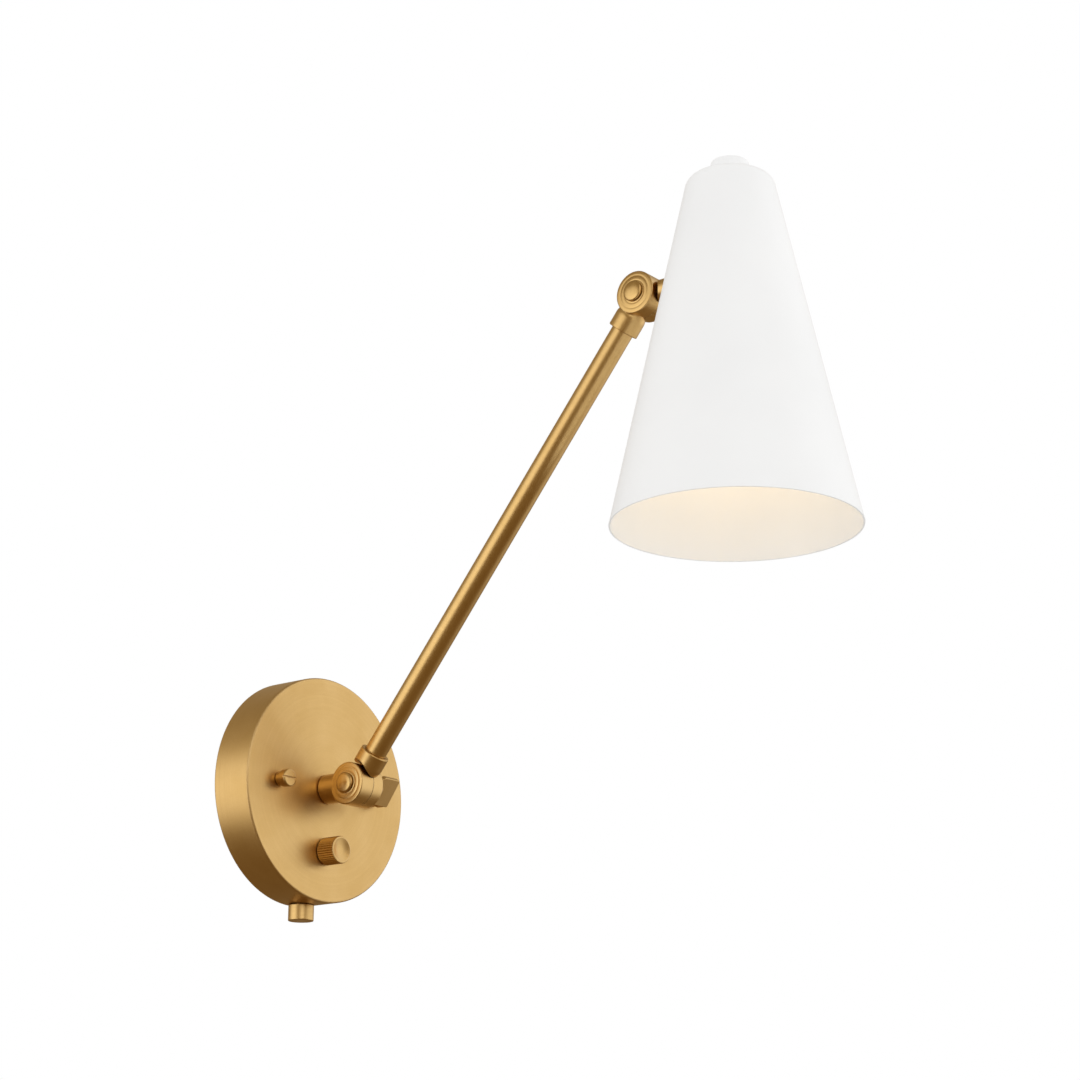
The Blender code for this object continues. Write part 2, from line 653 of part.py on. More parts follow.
# ---------------------------------------------------------------- shade
# Heights in this section are from the level of the upper pivot.
def cone_radius(height):
    return SHADE_RIM_RADIUS - SHADE_SLOPE * (height + SHADE_RIM_DROP)


def shade_outline(inset):
    """The shade's profile from rim to top centre, moved in from the outer surface."""
    top = SHADE_TOP_RISE - inset
    across = inset * math.hypot(1, SHADE_SLOPE)
    rim = (cone_radius(-SHADE_RIM_DROP) - across, -SHADE_RIM_DROP)
    corner = (cone_radius(top) - across, top)
    fillet = rounded([rim, corner, (0, top)], [0, SHADE_SHOULDER - inset, 0], steps=4)
    return fillet


def shade():
    """The spun cone: open below, with a hole in its top and one in its side."""
    profile = shade_outline(0) + shade_outline(SHADE_WALL)[::-1]
    made = add_piece("shade", lathe(profile, LARGE), "white_paint", SHADE_AXIS)
    cut(made, rod(NIPPLE_HOLE, SHADE_TOP_RISE - 0.004, SHADE_TOP_RISE + 0.004), "top_hole")
    side_hole = rod(NIPPLE_HOLE, 0.0250, 0.0450)
    bmesh.ops.rotate(side_hole, verts=side_hole.verts, matrix=Matrix.Rotation(-math.pi / 2, 3, "X"))
    cut(made, side_hole, "side_hole")
    return made


def cone_block(offset):
    """A solid cone that follows the shade's side at a distance outside it, in neck coordinates."""
    high = 0.030
    grow = offset * math.hypot(1, SHADE_SLOPE)
    mesh = lathe([(0, -high), (cone_radius(-high) + grow, -high), (cone_radius(high) + grow, high),
                  (0, high)], 2 * LARGE)
    bmesh.ops.rotate(mesh, verts=mesh.verts, matrix=Matrix.Rotation(-math.pi / 2, 3, "X"))
    bmesh.ops.translate(mesh, verts=mesh.verts, vec=(0, 0, SHADE_OFFSET))
    return mesh


def shade_knuckle():
    """The right half at the top, whose slim neck ends in a saddle against the shade."""
    neck_end = 0.0280
    neck = [(0, 0), (SHADE_NECK_RADIUS, 0), (SHADE_NECK_RADIUS, neck_end), (0, neck_end)]
    made = knuckle("shade_knuckle", 1, neck, neck_end, NIPPLE_HOLE, 0.0150, UPPER_PIVOT, OUTWARD)
    cut(made, cone_block(GAP), "saddle")
    return made


def saddle_washer():
    """A washer inside the shade, shaped to the cone on one side and flat on the other."""
    flat = 0.0285
    made = ring("saddle_washer", 0.0090, NIPPLE_HOLE, 0.0200, flat, "steel", UPPER_PIVOT, OUTWARD)
    keep = cone_block(-SHADE_WALL - GAP)
    combine(made, keep, "INTERSECT", "inside")
    return made


def top_knob():
    """The plain white knob that holds the shade down on the lamp pipe."""
    low = SHADE_TOP_RISE + GAP
    top = low + TOP_KNOB_HEIGHT
    bore_top = low + 0.0050
    corners = [(0, bore_top), (NIPPLE_HOLE, bore_top), (NIPPLE_HOLE, low), (TOP_KNOB_RADIUS, low),
               (TOP_KNOB_RADIUS, top), (0, top)]
    profile = rounded(corners, [0, 0, 0, 0.0003, 0.0008, 0], steps=3)
    return add_piece("top_knob", lathe(profile, MEDIUM), "white_paint", SHADE_AXIS)


def socket_parts():
    """The medium-base lamp socket that hangs from the shade's top."""
    under = SHADE_TOP_RISE - SHADE_WALL - GAP
    nut_top = under - 0.0012 - GAP
    cap_top = nut_top - 0.0036 - GAP
    cap_radius = 0.0175
    cap_low = cap_top - 0.0150
    wall = 0.0012
    cap_corners = [(NIPPLE_HOLE, cap_top), (cap_radius, cap_top), (cap_radius, cap_low),
                   (cap_radius - wall, cap_low), (cap_radius - wall, cap_top - wall),
                   (NIPPLE_HOLE, cap_top - wall)]
    cap = rounded(cap_corners, [0, 0.0040, 0, 0, 0.0028, 0], steps=3)
    body_top = cap_low - GAP
    body_low = body_top - 0.0385
    body = [(0, body_top), (0.0170, body_top), (0.0170, body_low), (0.0150, body_low),
            (0.0150, body_top - 0.0060), (0, body_top - 0.0060)]
    shell_top = body_top - 0.0060 - GAP
    shell = [(0.0147, shell_top), (0.0147, body_low + 0.0015), (0.0141, body_low + 0.0015),
             (0.0141, shell_top)]
    tongue_low = shell_top - 0.0020
    return [
        nipple("top_nipple", cap_top - 0.0060, SHADE_TOP_RISE + 0.0048, SHADE_AXIS, UPRIGHT),
        ring("top_washer", 0.0095, NIPPLE_HOLE, under - 0.0012, under, "steel", SHADE_AXIS, UPRIGHT),
        hex_nut("top_lock_nut", 0.0140, NIPPLE_HOLE, nut_top - 0.0036, nut_top, "steel", SHADE_AXIS,
                UPRIGHT),
        add_piece("socket_cap", lathe(cap, MEDIUM), "bare_brass", SHADE_AXIS),
        add_piece("socket_body", lathe(body, MEDIUM), "phenolic", SHADE_AXIS),
        add_piece("socket_screw_shell", lathe(shell, MEDIUM), "bare_brass", SHADE_AXIS),
        add_piece("socket_contact", rod(0.0045, tongue_low, shell_top, 16), "bare_brass", SHADE_AXIS),
    ], tongue_low


def bulb_outline(inset):
    """The glass from its neck to its lowest point: a straight neck, a flare and a round end."""
    radius = BULB_RADIUS - inset
    neck = BULB_NECK_RADIUS - inset
    join_angle = math.radians(28)
    start = Vector((neck, -0.0090))
    end = Vector((radius * math.cos(join_angle), BULB_CENTRE + radius * math.sin(join_angle)))
    reach = 0.0140
    start_pull = start + Vector((0, -reach))
    end_pull = end + reach * Vector((-math.sin(join_angle), math.cos(join_angle)))
    outline = [(neck, 0.0030)]
    steps = 4
    for step in range(steps):
        t = step / steps
        point = ((1 - t) ** 3 * start + 3 * t * (1 - t) ** 2 * start_pull
                 + 3 * t * t * (1 - t) * end_pull + t ** 3 * end)
        outline.append(tuple(point))
    steps = 7
    for step in range(steps + 1):
        angle = join_angle - (join_angle + math.pi / 2) * step / steps
        outline.append((max(radius * math.cos(angle), 0), BULB_CENTRE + radius * math.sin(angle)))
    outline[-1] = (0, BULB_CENTRE - radius)
    return outline


def bulb_parts(contact):
    """A frosted medium-base bulb: glass, screw base, insulator, tip and the lit module inside."""
    thread = 0.0131
    base_low = -0.0040
    base_top = contact - 0.0052
    turns = 3
    pitch = (base_top - base_low - 0.003) / turns
    outside = [(thread - 0.0007, base_low)]
    for turn in range(turns):
        low = base_low + 0.0015 + turn * pitch
        outside += [(thread - 0.0007, low), (thread, low + pitch / 2)]
    outside += [(thread - 0.0007, base_top - 0.0015), (0.0100, base_top)]
    inside = [(0.0080, base_top), (0.0125, base_top - 0.0020), (0.0125, base_low)]
    glass = bulb_outline(0) + bulb_outline(0.0008)[::-1]
    tip_low = contact - 0.0014
    insulator = [(0, base_top - 0.0005), (0.0077, base_top - 0.0005), (0.0077, base_top + GAP),
                 (0.0095, base_top + GAP), (0.0050, tip_low - GAP), (0, tip_low - GAP)]
    module = [(0, 0.0020), (0.0060, 0.0020), (0.0060, -0.0100), (0.0030, -0.0140), (0.0024, -0.0540),
              (0, -0.0550)]
    return [
        add_piece("bulb_glass", lathe(glass, MEDIUM), "frosted_glass", SHADE_AXIS),
        add_piece("bulb_base", lathe(outside + inside, SMALL), "steel", SHADE_AXIS),
        add_piece("bulb_insulator", lathe(insulator, 16), "phenolic", SHADE_AXIS),
        add_piece("bulb_tip", rod(0.0042, tip_low, contact - GAP, 16), "steel", SHADE_AXIS),
        add_piece("bulb_light_module", lathe(module, 12), "white_paint", SHADE_AXIS),
    ]


def shade_cable():
    """The two-core cable from the side pipe up to the socket cap."""
    x, y, z = SHADE_AXIS
    mouth = UPPER_PIVOT.y - 0.0325
    return wire("shade_cable", [(x, mouth - 0.0003, z), (x, mouth - 0.0022, z + 0.0010),
                                (x, mouth - 0.0034, z + 0.0060), (x, mouth - 0.0026, z + 0.0160),
                                (x, mouth - 0.0020, z + 0.0270), (x, y + 0.0196, z + 0.0380)],
                0.0013, "white_insulation")


# ---------------------------------------------------------------- the whole sconce
def build():
    clear_scene()
    stem_axis = axis_empty("stem_axis", (0, -CANOPY_DEPTH, 0))
    lower_axis = axis_empty("lower_pivot_axis", LOWER_PIVOT, stem_axis)
    upper_axis = axis_empty("upper_pivot_axis", UPPER_PIVOT, lower_axis)
    knob_axis = axis_empty("knob_axis", (0, -CANOPY_DEPTH, -KNOB_DROP))

    mounting_bracket()
    canopy()
    ground_screw()
    dimmer_body()
    dimmer_nut()
    outlet_plug()
    outlet_plug_nut()
    for side, x in (("left", -STUD_SPREAD), ("right", STUD_SPREAD)):
        stud(f"{side}_stud", x)
        cap_nut(f"{side}_cap_nut", x)
    wire_connector("line_connector", -0.0160, 0.0295)
    wire_connector("neutral_connector", 0.0160, 0.0300)
    canopy_wires()

    for piece in (dimmer_shaft(), dimmer_knob()):
        attach(piece, knob_axis)
    for piece in stem_parts():
        attach(piece, stem_axis)
    attach(thumb_nut("lower_thumb_nut", LOWER_PIVOT), stem_axis)
    for piece in arm_parts():
        attach(piece, lower_axis)
    attach(thumb_nut("upper_thumb_nut", UPPER_PIVOT), lower_axis)

    pipe_end = 0.0322
    head = [shade_knuckle(), saddle_washer(), shade(), top_knob(), shade_cable()]
    head.append(nipple("shade_nipple", 0.0153, pipe_end, UPPER_PIVOT, OUTWARD))
    head.append(hex_nut("shade_lock_nut", 0.0140, NIPPLE_HOLE, 0.0285 + GAP, 0.0316, "steel",
                        UPPER_PIVOT, OUTWARD))
    socket, contact = socket_parts()
    head += socket + bulb_parts(contact)
    for piece in head:
        attach(piece, upper_axis)


build()
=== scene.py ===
"""Looks of the swing arm wall sconce: fine meshes, finishes, studio and camera.

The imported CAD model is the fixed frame.  Each piece is modelled in its own local frame, turned about Z
or, for discs, bolts and connectors, about X.  It stands for one CAD node and rides on that node's body.
"""

import json
import math

import bmesh
import bpy
from mathutils import Matrix, Vector

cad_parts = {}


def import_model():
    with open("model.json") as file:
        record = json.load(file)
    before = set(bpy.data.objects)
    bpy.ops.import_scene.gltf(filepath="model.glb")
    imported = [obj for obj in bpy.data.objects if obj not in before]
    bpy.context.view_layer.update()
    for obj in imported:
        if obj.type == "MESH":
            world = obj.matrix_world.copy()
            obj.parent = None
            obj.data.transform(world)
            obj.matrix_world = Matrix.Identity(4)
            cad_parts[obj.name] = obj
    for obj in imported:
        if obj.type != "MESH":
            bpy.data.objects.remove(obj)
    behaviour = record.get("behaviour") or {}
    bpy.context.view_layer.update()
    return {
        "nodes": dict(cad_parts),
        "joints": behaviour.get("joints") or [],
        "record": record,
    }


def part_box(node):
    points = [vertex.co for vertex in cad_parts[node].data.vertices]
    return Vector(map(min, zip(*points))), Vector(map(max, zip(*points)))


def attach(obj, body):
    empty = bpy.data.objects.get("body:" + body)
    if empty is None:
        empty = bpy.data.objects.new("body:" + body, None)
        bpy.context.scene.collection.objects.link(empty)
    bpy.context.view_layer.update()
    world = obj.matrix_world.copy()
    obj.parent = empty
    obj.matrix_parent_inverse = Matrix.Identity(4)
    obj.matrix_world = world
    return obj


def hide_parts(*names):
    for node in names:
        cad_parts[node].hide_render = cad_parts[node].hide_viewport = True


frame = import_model()

# ---------------------------------------------------------------- places taken from the frame
PIVOTS = {joint["name"]: Vector(joint["pos_m"]) for joint in frame["joints"]}
LOWER_PIVOT = PIVOTS["arm_pitch"]
UPPER_PIVOT = PIVOTS["shade_tilt"]
KNOB_PLACE = Vector((PIVOTS["dimmer_turn"].x, 0, PIVOTS["dimmer_turn"].z))
ARM = UPPER_PIVOT - LOWER_PIVOT
ARM_ANGLE = math.atan2(ARM.z, -ARM.y)
SHADE_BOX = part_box("shade")
SHADE_PLACE = Vector((0, (SHADE_BOX[0].y + SHADE_BOX[1].y) / 2, UPPER_PIVOT.z))
CANOPY_DEPTH = -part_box("canopy")[0].y
CANOPY_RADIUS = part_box("canopy")[1].x
STUD_SPREAD = (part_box("right_stud")[0].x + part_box("right_stud")[1].x) / 2

BODY_OF = {}
for body, members in frame["record"]["behaviour"]["bodies"].items():
    for member in members:
        BODY_OF[member] = body

# ---------------------------------------------------------------- sizes, in metres
GAP = 0.0003
CANOPY_WALL = 0.0010
LOWER_STANDOFF = -LOWER_PIVOT.y - CANOPY_DEPTH

TUBE_RADIUS = 0.00615
TUBE_BORE = 0.00515
DISC_RADIUS = 0.0119
DISC_LEFT = -0.0090
DISC_RIGHT = 0.0102
DISC_CROWN = 0.0009             # how much a disc's turned face falls off towards its rim
TURNED_GROOVE = 0.00014         # fine rings the turning tool leaves on a disc's face
SEAM = 0.0014
NECK_RADIUS = 0.0084
NECK_LENGTH = 0.0217
DOME_CENTRE = 0.0140
SHADE_NECK_RADIUS = 0.0062
SHADE_NECK_LENGTH = 0.0280
RELIEF_RADIUS = 0.0124
RELIEF_FLARE = 0.0026
BOLT_RADIUS = 0.00225
BUTTON_RADIUS = 0.0057
BUTTON_HEIGHT = 0.0021
BOLT_END = 0.0175
PADDLE_ANGLE = math.radians(55)
PADDLE_HALF_WIDTH = 0.0086
PADDLE_END = 0.0300
PADDLE_THICKNESS = 0.0030
NIPPLE_RADIUS = 0.0048
NIPPLE_BORE = 0.0034
NIPPLE_HOLE = NIPPLE_RADIUS + GAP
TUBE_SEAT = 0.0140              # from a pivot to the bottom of the socket in its neck
STEM_PIPE_SEAT = 0.0135
SHADE_PIPE_SEAT = 0.0150
STEM_PIPE_REACH = 0.0127        # how far the stem's pipe goes in past the canopy's face
SHADE_PIPE_END = 0.0322         # from the upper pivot
LOCK_NUT_FLATS = 0.0140

SHADE_OFFSET = UPPER_PIVOT.y - SHADE_PLACE.y
SHADE_RIM_DROP = UPPER_PIVOT.z - SHADE_BOX[0].z
SHADE_TOP_RISE = SHADE_BOX[1].z - UPPER_PIVOT.z
SHADE_RIM_RADIUS = SHADE_BOX[1].x
SHADE_SLOPE = 0.2187
SHADE_SHOULDER = 0.0070
SHADE_WALL = 0.0009
TOP_KNOB_RADIUS = 0.0102
TOP_KNOB_HEIGHT = 0.0087

STUD_RADIUS = 0.0020
KNOB_RADIUS = 0.00775
KNOB_LENGTH = 0.0121
KNOB_RIDGES = 36
KNOB_DISH = 0.0020
DIMMER_BUSHING = 0.0043
SHAFT_RADIUS = 0.0029
SHAFT_END = 0.0090
GROUND_SCREW_X = 0.0200
CONNECTOR_DEPTH = 0.0125
WIRE_RADIUS = 0.0009
GROUND_WIRE_RADIUS = 0.0007
SHADE_CABLE_RADIUS = 0.0013
ARM_CABLE_RADIUS = 0.0024
PLUG_RADIUS = 0.00715
PLUG_STEM = 0.0037
PLUG_FROM_WALL = 0.0080
PLUG_DROP = 0.0725

BRACKET_THICKNESS = 0.0016
BRACKET_REACH = 0.0520
BRACKET_HALF_WIDTH = 0.0080

WASHER_HEIGHT = 0.0012
LOCK_NUT_HEIGHT = 0.0036
CAP_WALL = 0.0012
SOCKET_ROOF = 0.0060

# Heights above the upper pivot, from the shade's top down to the bulb's contact.
UNDER_TOP = SHADE_TOP_RISE - SHADE_WALL - GAP
TOP_NUT_TOP = UNDER_TOP - WASHER_HEIGHT - GAP
CAP_TOP = TOP_NUT_TOP - LOCK_NUT_HEIGHT - GAP
CAP_LOW = CAP_TOP - 0.0150
BODY_TOP = CAP_LOW - GAP
BODY_LOW = BODY_TOP - 0.0385
SHELL_TOP = BODY_TOP - SOCKET_ROOF - GAP
CONTACT_FACE = SHELL_TOP - 0.0020

BULB_RADIUS = 0.0300
BULB_CENTRE = -0.0590
BULB_NECK_RADIUS = 0.0122
BULB_GLOW = 1.7

FINE = 192                      # segments round the canopy and the shade
ROUND = 96
SMALL = 48
THREAD_DEPTH = 0.00032
THREAD_PITCH = 0.00094

# Turns about X that point a piece's own +Z along each neck.
TOWARDS_WALL = -math.pi / 2
OUTWARD = math.pi / 2
UP_THE_ARM = math.pi / 2 - ARM_ANGLE
DOWN_THE_ARM = 3 * math.pi / 2 - ARM_ANGLE
UPRIGHT = 0


def placed(location, turn=UPRIGHT):
    return Matrix.Translation(location) @ Matrix.Rotation(turn, 4, "X")


SHADE_FRAME = placed(SHADE_PLACE)
KNOB_FRAME = placed(KNOB_PLACE, OUTWARD)
PLUG_FRAME = placed((0, -PLUG_FROM_WALL, 0))


# ---------------------------------------------------------------- material tools
class Nodes:
    """A new material and short ways to add nodes to it."""

    def __init__(self, name):
        self.material = bpy.data.materials.new(name)
        self.material.use_nodes = True
        self.tree = self.material.node_tree
        self.shader = self.tree.nodes["Principled BSDF"]

    def link(self, source, target):
        self.tree.links.new(source, target)

    def add(self, kind, values=None, **settings):
        """Add a node and return its outputs.  An input takes a number, vector, colour or output."""
        node = self.tree.nodes.new(kind)
        for key, value in settings.items():
            setattr(node, key, value)
        for key, value in (values or {}).items():
            socket = node.inputs[key]
            if isinstance(value, bpy.types.NodeSocket):
                self.link(value, socket)
            elif isinstance(value, tuple):
                socket.default_value = (*value, 1.0)
            else:
                socket.default_value = value
        return node.outputs

    def set(self, **values):
        for key, value in values.items():
            self.shader.inputs[key.replace("_", " ")].default_value = value

    def math(self, operation, first, second=0.0):
        return self.add("ShaderNodeMath", {0: first, 1: second}, operation=operation)[0]

    def dot(self, first, second):
        return self.add("ShaderNodeVectorMath", {0: first, 1: second}, operation="DOT_PRODUCT")["Value"]

    def combine(self, x, y, z):
        return self.add("ShaderNodeCombineXYZ", {0: x, 1: y, 2: z})[0]

    def split(self, vector):
        return self.add("ShaderNodeSeparateXYZ", {0: vector})

    def position(self):
        return self.add("ShaderNodeTexCoord")["Object"]

    def noise(self, scale, detail=3.0, roughness=0.5, vector=None):
        """Noise over the piece's own space, unless another vector is given."""
        if vector is None:
            vector = self.position()
        values = {"Vector": vector, "Scale": scale, "Detail": detail, "Roughness": roughness}
        return self.add("ShaderNodeTexNoise", values)["Fac"]

    def ramp(self, factor, stops):
        node = self.tree.nodes.new("ShaderNodeValToRGB")
        elements = node.color_ramp.elements
        while len(elements) < len(stops):
            elements.new(0.5)
        for element, (place, colour) in zip(elements, stops):
            element.position = place
            element.color = (*colour, 1.0)
        self.link(factor, node.inputs["Fac"])
        return node.outputs["Color"]

    def spread(self, factor, low, high):
        """A factor between 0 and 1 mapped to a range of numbers."""
        return self.add("ShaderNodeMapRange", {"Value": factor, "To Min": low, "To Max": high})["Result"]

    def within(self, value, start, end, interpolation="LINEAR"):
        """How far a value has come from start to end, from 0 to 1."""
        values = {"Value": value, "From Min": start, "From Max": end}
        return self.add("ShaderNodeMapRange", values, interpolation_type=interpolation)["Result"]

    def mix(self, factor, first, second):
        return self.add("ShaderNodeMix", {0: factor, 6: first, 7: second}, data_type="RGBA")[2]

    def colour(self, base, edge, edge_tint_amount, edge_colour):
        """Colour the surface with an edge colour on its sharp edges, and return their softened normal."""
        # The edge colour is scuffing on steel and plastic. On brass it is scuffing with a painted
        # highlight, and on the white paint it is a painted shadow line.
        soft = self.add("ShaderNodeBevel", {"Radius": edge}, samples=4)["Normal"]
        flat = self.add("ShaderNodeNewGeometry")["Normal"]
        edge_mask = self.within(self.dot(soft, flat), 0.999, 0.90)
        coloured = self.mix(self.math("MULTIPLY", edge_mask, edge_tint_amount), base, edge_colour)
        self.link(coloured, self.shader.inputs["Base Color"])
        return soft

    def roughness(self, value):
        self.link(value, self.shader.inputs["Roughness"])

    def bump(self, height, strength, distance, normal=None):
        values = {"Height": height, "Strength": strength, "Distance": distance}
        if normal:
            values["Normal"] = normal
        self.link(self.add("ShaderNodeBump", values)["Normal"], self.shader.inputs["Normal"])


def around(nodes, axis):
    """Distance from the turning axis, place along it, and the direction round it."""
    x, y, z = nodes.split(nodes.position())
    first, second, along = (x, y, z) if axis == "Z" else (y, z, x)
    square = nodes.math("ADD", nodes.math("MULTIPLY", first, first), nodes.math("MULTIPLY", second, second))
    distance = nodes.math("SQRT", square)
    backward = nodes.math("MULTIPLY", second, -1.0)
    if axis == "Z":
        direction = nodes.combine(backward, first, 0.0)
    else:
        direction = nodes.combine(0.0, backward, first)
    turned = nodes.add("ShaderNodeVectorTransform", {0: direction}, vector_type="VECTOR",
                       convert_from="OBJECT", convert_to="WORLD")
    return distance, along, turned[0]


# ---------------------------------------------------------------- finishes
BRASS_LIGHT = (0.750, 0.500, 0.205)
BRASS_DEEP = (0.690, 0.445, 0.165)
BRASS_DARK = (0.560, 0.340, 0.110)
# Light brass for the edges: scuffed brass and a painted highlight.
BRASS_WORN_AND_HIGHLIGHT = (0.900, 0.690, 0.400)


def satin_brass(name, axis, roughness=0.33, anisotropy=0.45, groove=0.12, ring_scale=2600.0,
                edge=0.00035, edge_tint_amount=0.45):
    """Brass brushed on a lathe about an axis, under clear lacquer, a little brighter on its edges: scuffed,
    and with a painted highlight.
    """
    nodes = Nodes(name)
    distance, along, direction = around(nodes, axis)
    drift = nodes.noise(38.0, 2.0)
    rings = nodes.combine(distance, along, nodes.math("MULTIPLY", drift, 0.0009))
    grooves = nodes.noise(ring_scale, 4.0, 0.62, rings)
    bands = nodes.noise(900.0, 2.0, vector=rings)
    cloud = nodes.noise(55.0, 3.0)
    grain = nodes.noise(1500.0, 2.0)
    base = nodes.ramp(cloud, [(0.30, BRASS_DEEP), (0.70, BRASS_LIGHT)])
    grained = nodes.mix(nodes.spread(grain, -0.12, 0.32), base, BRASS_DARK)
    lined = nodes.mix(nodes.spread(grooves, -0.16, 0.40), grained, BRASS_DARK)
    # The edges turn to the light brass: partly scuffing, partly a painted highlight.
    soft = nodes.colour(lined, edge, edge_tint_amount, BRASS_WORN_AND_HIGHLIGHT)
    uneven = nodes.math("ADD", nodes.spread(grooves, -0.05, 0.05), nodes.spread(bands, -0.04, 0.04))
    nodes.roughness(nodes.math("ADD", uneven, roughness))
    nodes.set(Metallic=1.0, Anisotropic=anisotropy, Coat_Weight=0.12, Coat_Roughness=0.22)
    nodes.link(direction, nodes.shader.inputs["Tangent"])
    nodes.bump(grooves, groove, 0.00006, soft)
    return nodes.material


def white_paint():
    """Satin white paint with a faint orange peel, a little dust tone in its low spots and a painted shadow
    line on its edges.
    """
    nodes = Nodes("white_paint_look")
    peel = nodes.noise(900.0, 2.0)
    cloud = nodes.noise(14.0, 3.0)
    tone = nodes.ramp(cloud, [(0.30, (0.895, 0.895, 0.895)), (0.70, (0.925, 0.925, 0.923))])
    # Dark grey on the sharp edges, most of all the shade's rim: a painted shadow line.
    soft = nodes.colour(tone, 0.0003, 0.55, (0.40, 0.40, 0.39))
    nodes.roughness(nodes.spread(peel, 0.44, 0.56))
    nodes.set(Specular_IOR_Level=0.35)
    nodes.bump(peel, 0.10, 0.00004, soft)
    return nodes.material


def plated_steel(name="zinc_steel_look", tint=(0.60, 0.60, 0.61), roughness=0.34):
    """Zinc plate with a faint crystalline mottle, duller in its scratches."""
    nodes = Nodes(name)
    values = {"Vector": nodes.position(), "Scale": 420.0}
    cells = nodes.add("ShaderNodeTexVoronoi", values, feature="F1")["Distance"]
    cloud = nodes.noise(160.0, 4.0)
    dull = tuple(channel * 0.80 for channel in tint)
    base = nodes.ramp(cloud, [(0.30, dull), (0.70, tint)])
    tinted = nodes.mix(nodes.math("MULTIPLY", cells, 0.35), base, (0.74, 0.73, 0.69))
    soft = nodes.colour(tinted, 0.00025, 0.5, (0.80, 0.80, 0.80))
    nodes.roughness(nodes.spread(cloud, roughness - 0.08, roughness + 0.10))
    nodes.set(Metallic=1.0)
    nodes.bump(cloud, 0.12, 0.00005, soft)
    return nodes.material


def moulded(name, colour, lighter, roughness, peel_scale=1200.0):
    """Moulded plastic: a fine spark grain, slightly lighter scuffed edges."""
    nodes = Nodes(name)
    grain = nodes.noise(peel_scale, 3.0)
    cloud = nodes.noise(90.0, 3.0)
    base = nodes.ramp(cloud, [(0.30, colour), (0.75, lighter)])
    edge_colour = tuple(min(1, channel * 1.5 + 0.02) for channel in lighter)
    soft = nodes.colour(base, 0.0003, 0.35, edge_colour)
    nodes.roughness(nodes.spread(grain, roughness - 0.07, roughness + 0.07))
    nodes.bump(grain, 0.15, 0.00004, soft)
    return nodes.material


def frosted_bulb():
    """Frosted glass lit from inside, dimmer towards its neck."""
    nodes = Nodes("frosted_bulb_look")
    height = nodes.within(nodes.split(nodes.position())["Z"], 0.0, BULB_CENTRE + BULB_RADIUS)
    frost = nodes.noise(700.0, 2.0)
    glow = nodes.ramp(height, [(0.0, (0.30, 0.17, 0.07)), (1.0, (1.0, 0.72, 0.36))])
    nodes.link(glow, nodes.shader.inputs["Emission Color"])
    nodes.set(Emission_Strength=BULB_GLOW)
    nodes.link(nodes.ramp(frost, [(0.3, (0.93, 0.92, 0.88)), (0.7, (0.97, 0.96, 0.93))]),
               nodes.shader.inputs["Base Color"])
    nodes.roughness(nodes.spread(frost, 0.34, 0.46))
    nodes.bump(frost, 0.10, 0.00003)
    return nodes.material


BRASS_TURNED = satin_brass("brass_turned_about_z", "Z")
BRASS_FACED = satin_brass("brass_turned_about_x", "X", roughness=0.30, anisotropy=0.72, groove=0.35,
                          ring_scale=1700.0)
# On the canopy the light edge colour is at full strength and wider: a painted highlight line along the
# rim's fillet.
BRASS_CANOPY = satin_brass("brass_spun_canopy", "Z", roughness=0.38, anisotropy=0.15, groove=0.07,
                           edge=0.0010, edge_tint_amount=1.0)
BRASS_CUT = satin_brass("brass_milled", "X", roughness=0.38, anisotropy=0.10, groove=0.10)
WHITE = white_paint()
STEEL = plated_steel()
BARE_BRASS = satin_brass("bare_stamped_brass", "Z", roughness=0.28, anisotropy=0.20, groove=0.06)
GREEN_STEEL = plated_steel("green_screw_look", (0.10, 0.40, 0.16), 0.36)
SOLDER = plated_steel("solder_look", (0.55, 0.55, 0.56), 0.42)
PHENOLIC = moulded("phenolic_look", (0.020, 0.018, 0.017), (0.035, 0.031, 0.029), 0.36)
BLACK = moulded("black_insulation_look", (0.015, 0.015, 0.016), (0.030, 0.030, 0.031), 0.46)
WHITE_PLASTIC = moulded("white_insulation_look", (0.72, 0.72, 0.69), (0.80, 0.80, 0.77), 0.44)
GREEN = moulded("green_insulation_look", (0.030, 0.235, 0.070), (0.050, 0.300, 0.095), 0.44)
ORANGE = moulded("orange_connector_look", (0.70, 0.165, 0.020), (0.82, 0.240, 0.035), 0.42)
FIBRE = moulded("pressed_fibre_look", (0.18, 0.095, 0.045), (0.27, 0.150, 0.075), 0.75, 500.0)
BULB_GLASS = frosted_bulb()


# ---------------------------------------------------------------- mesh tools
def rounded(points, radii, steps=6):
    """A closed outline with a fillet of the given radius at each corner (0 keeps it sharp)."""
    outline = []
    count = len(points)
    for index, radius in enumerate(radii):
        corner = Vector(points[index])
        if radius == 0:
            outline.append(tuple(corner))
            continue
        before = (Vector(points[index - 1]) - corner).normalized()
        after = (Vector(points[(index + 1) % count]) - corner).normalized()
        half_angle = before.angle(after) / 2
        centre = corner + (before + after).normalized() * radius / math.sin(half_angle)
        start = corner + before * radius / math.tan(half_angle) - centre
        end = corner + after * radius / math.tan(half_angle) - centre
        sweep = start.angle_signed(end)
        for step in range(steps + 1):
            turn = Matrix.Rotation(-sweep * step / steps, 2)
            outline.append(tuple(centre + turn @ start))
    return outline


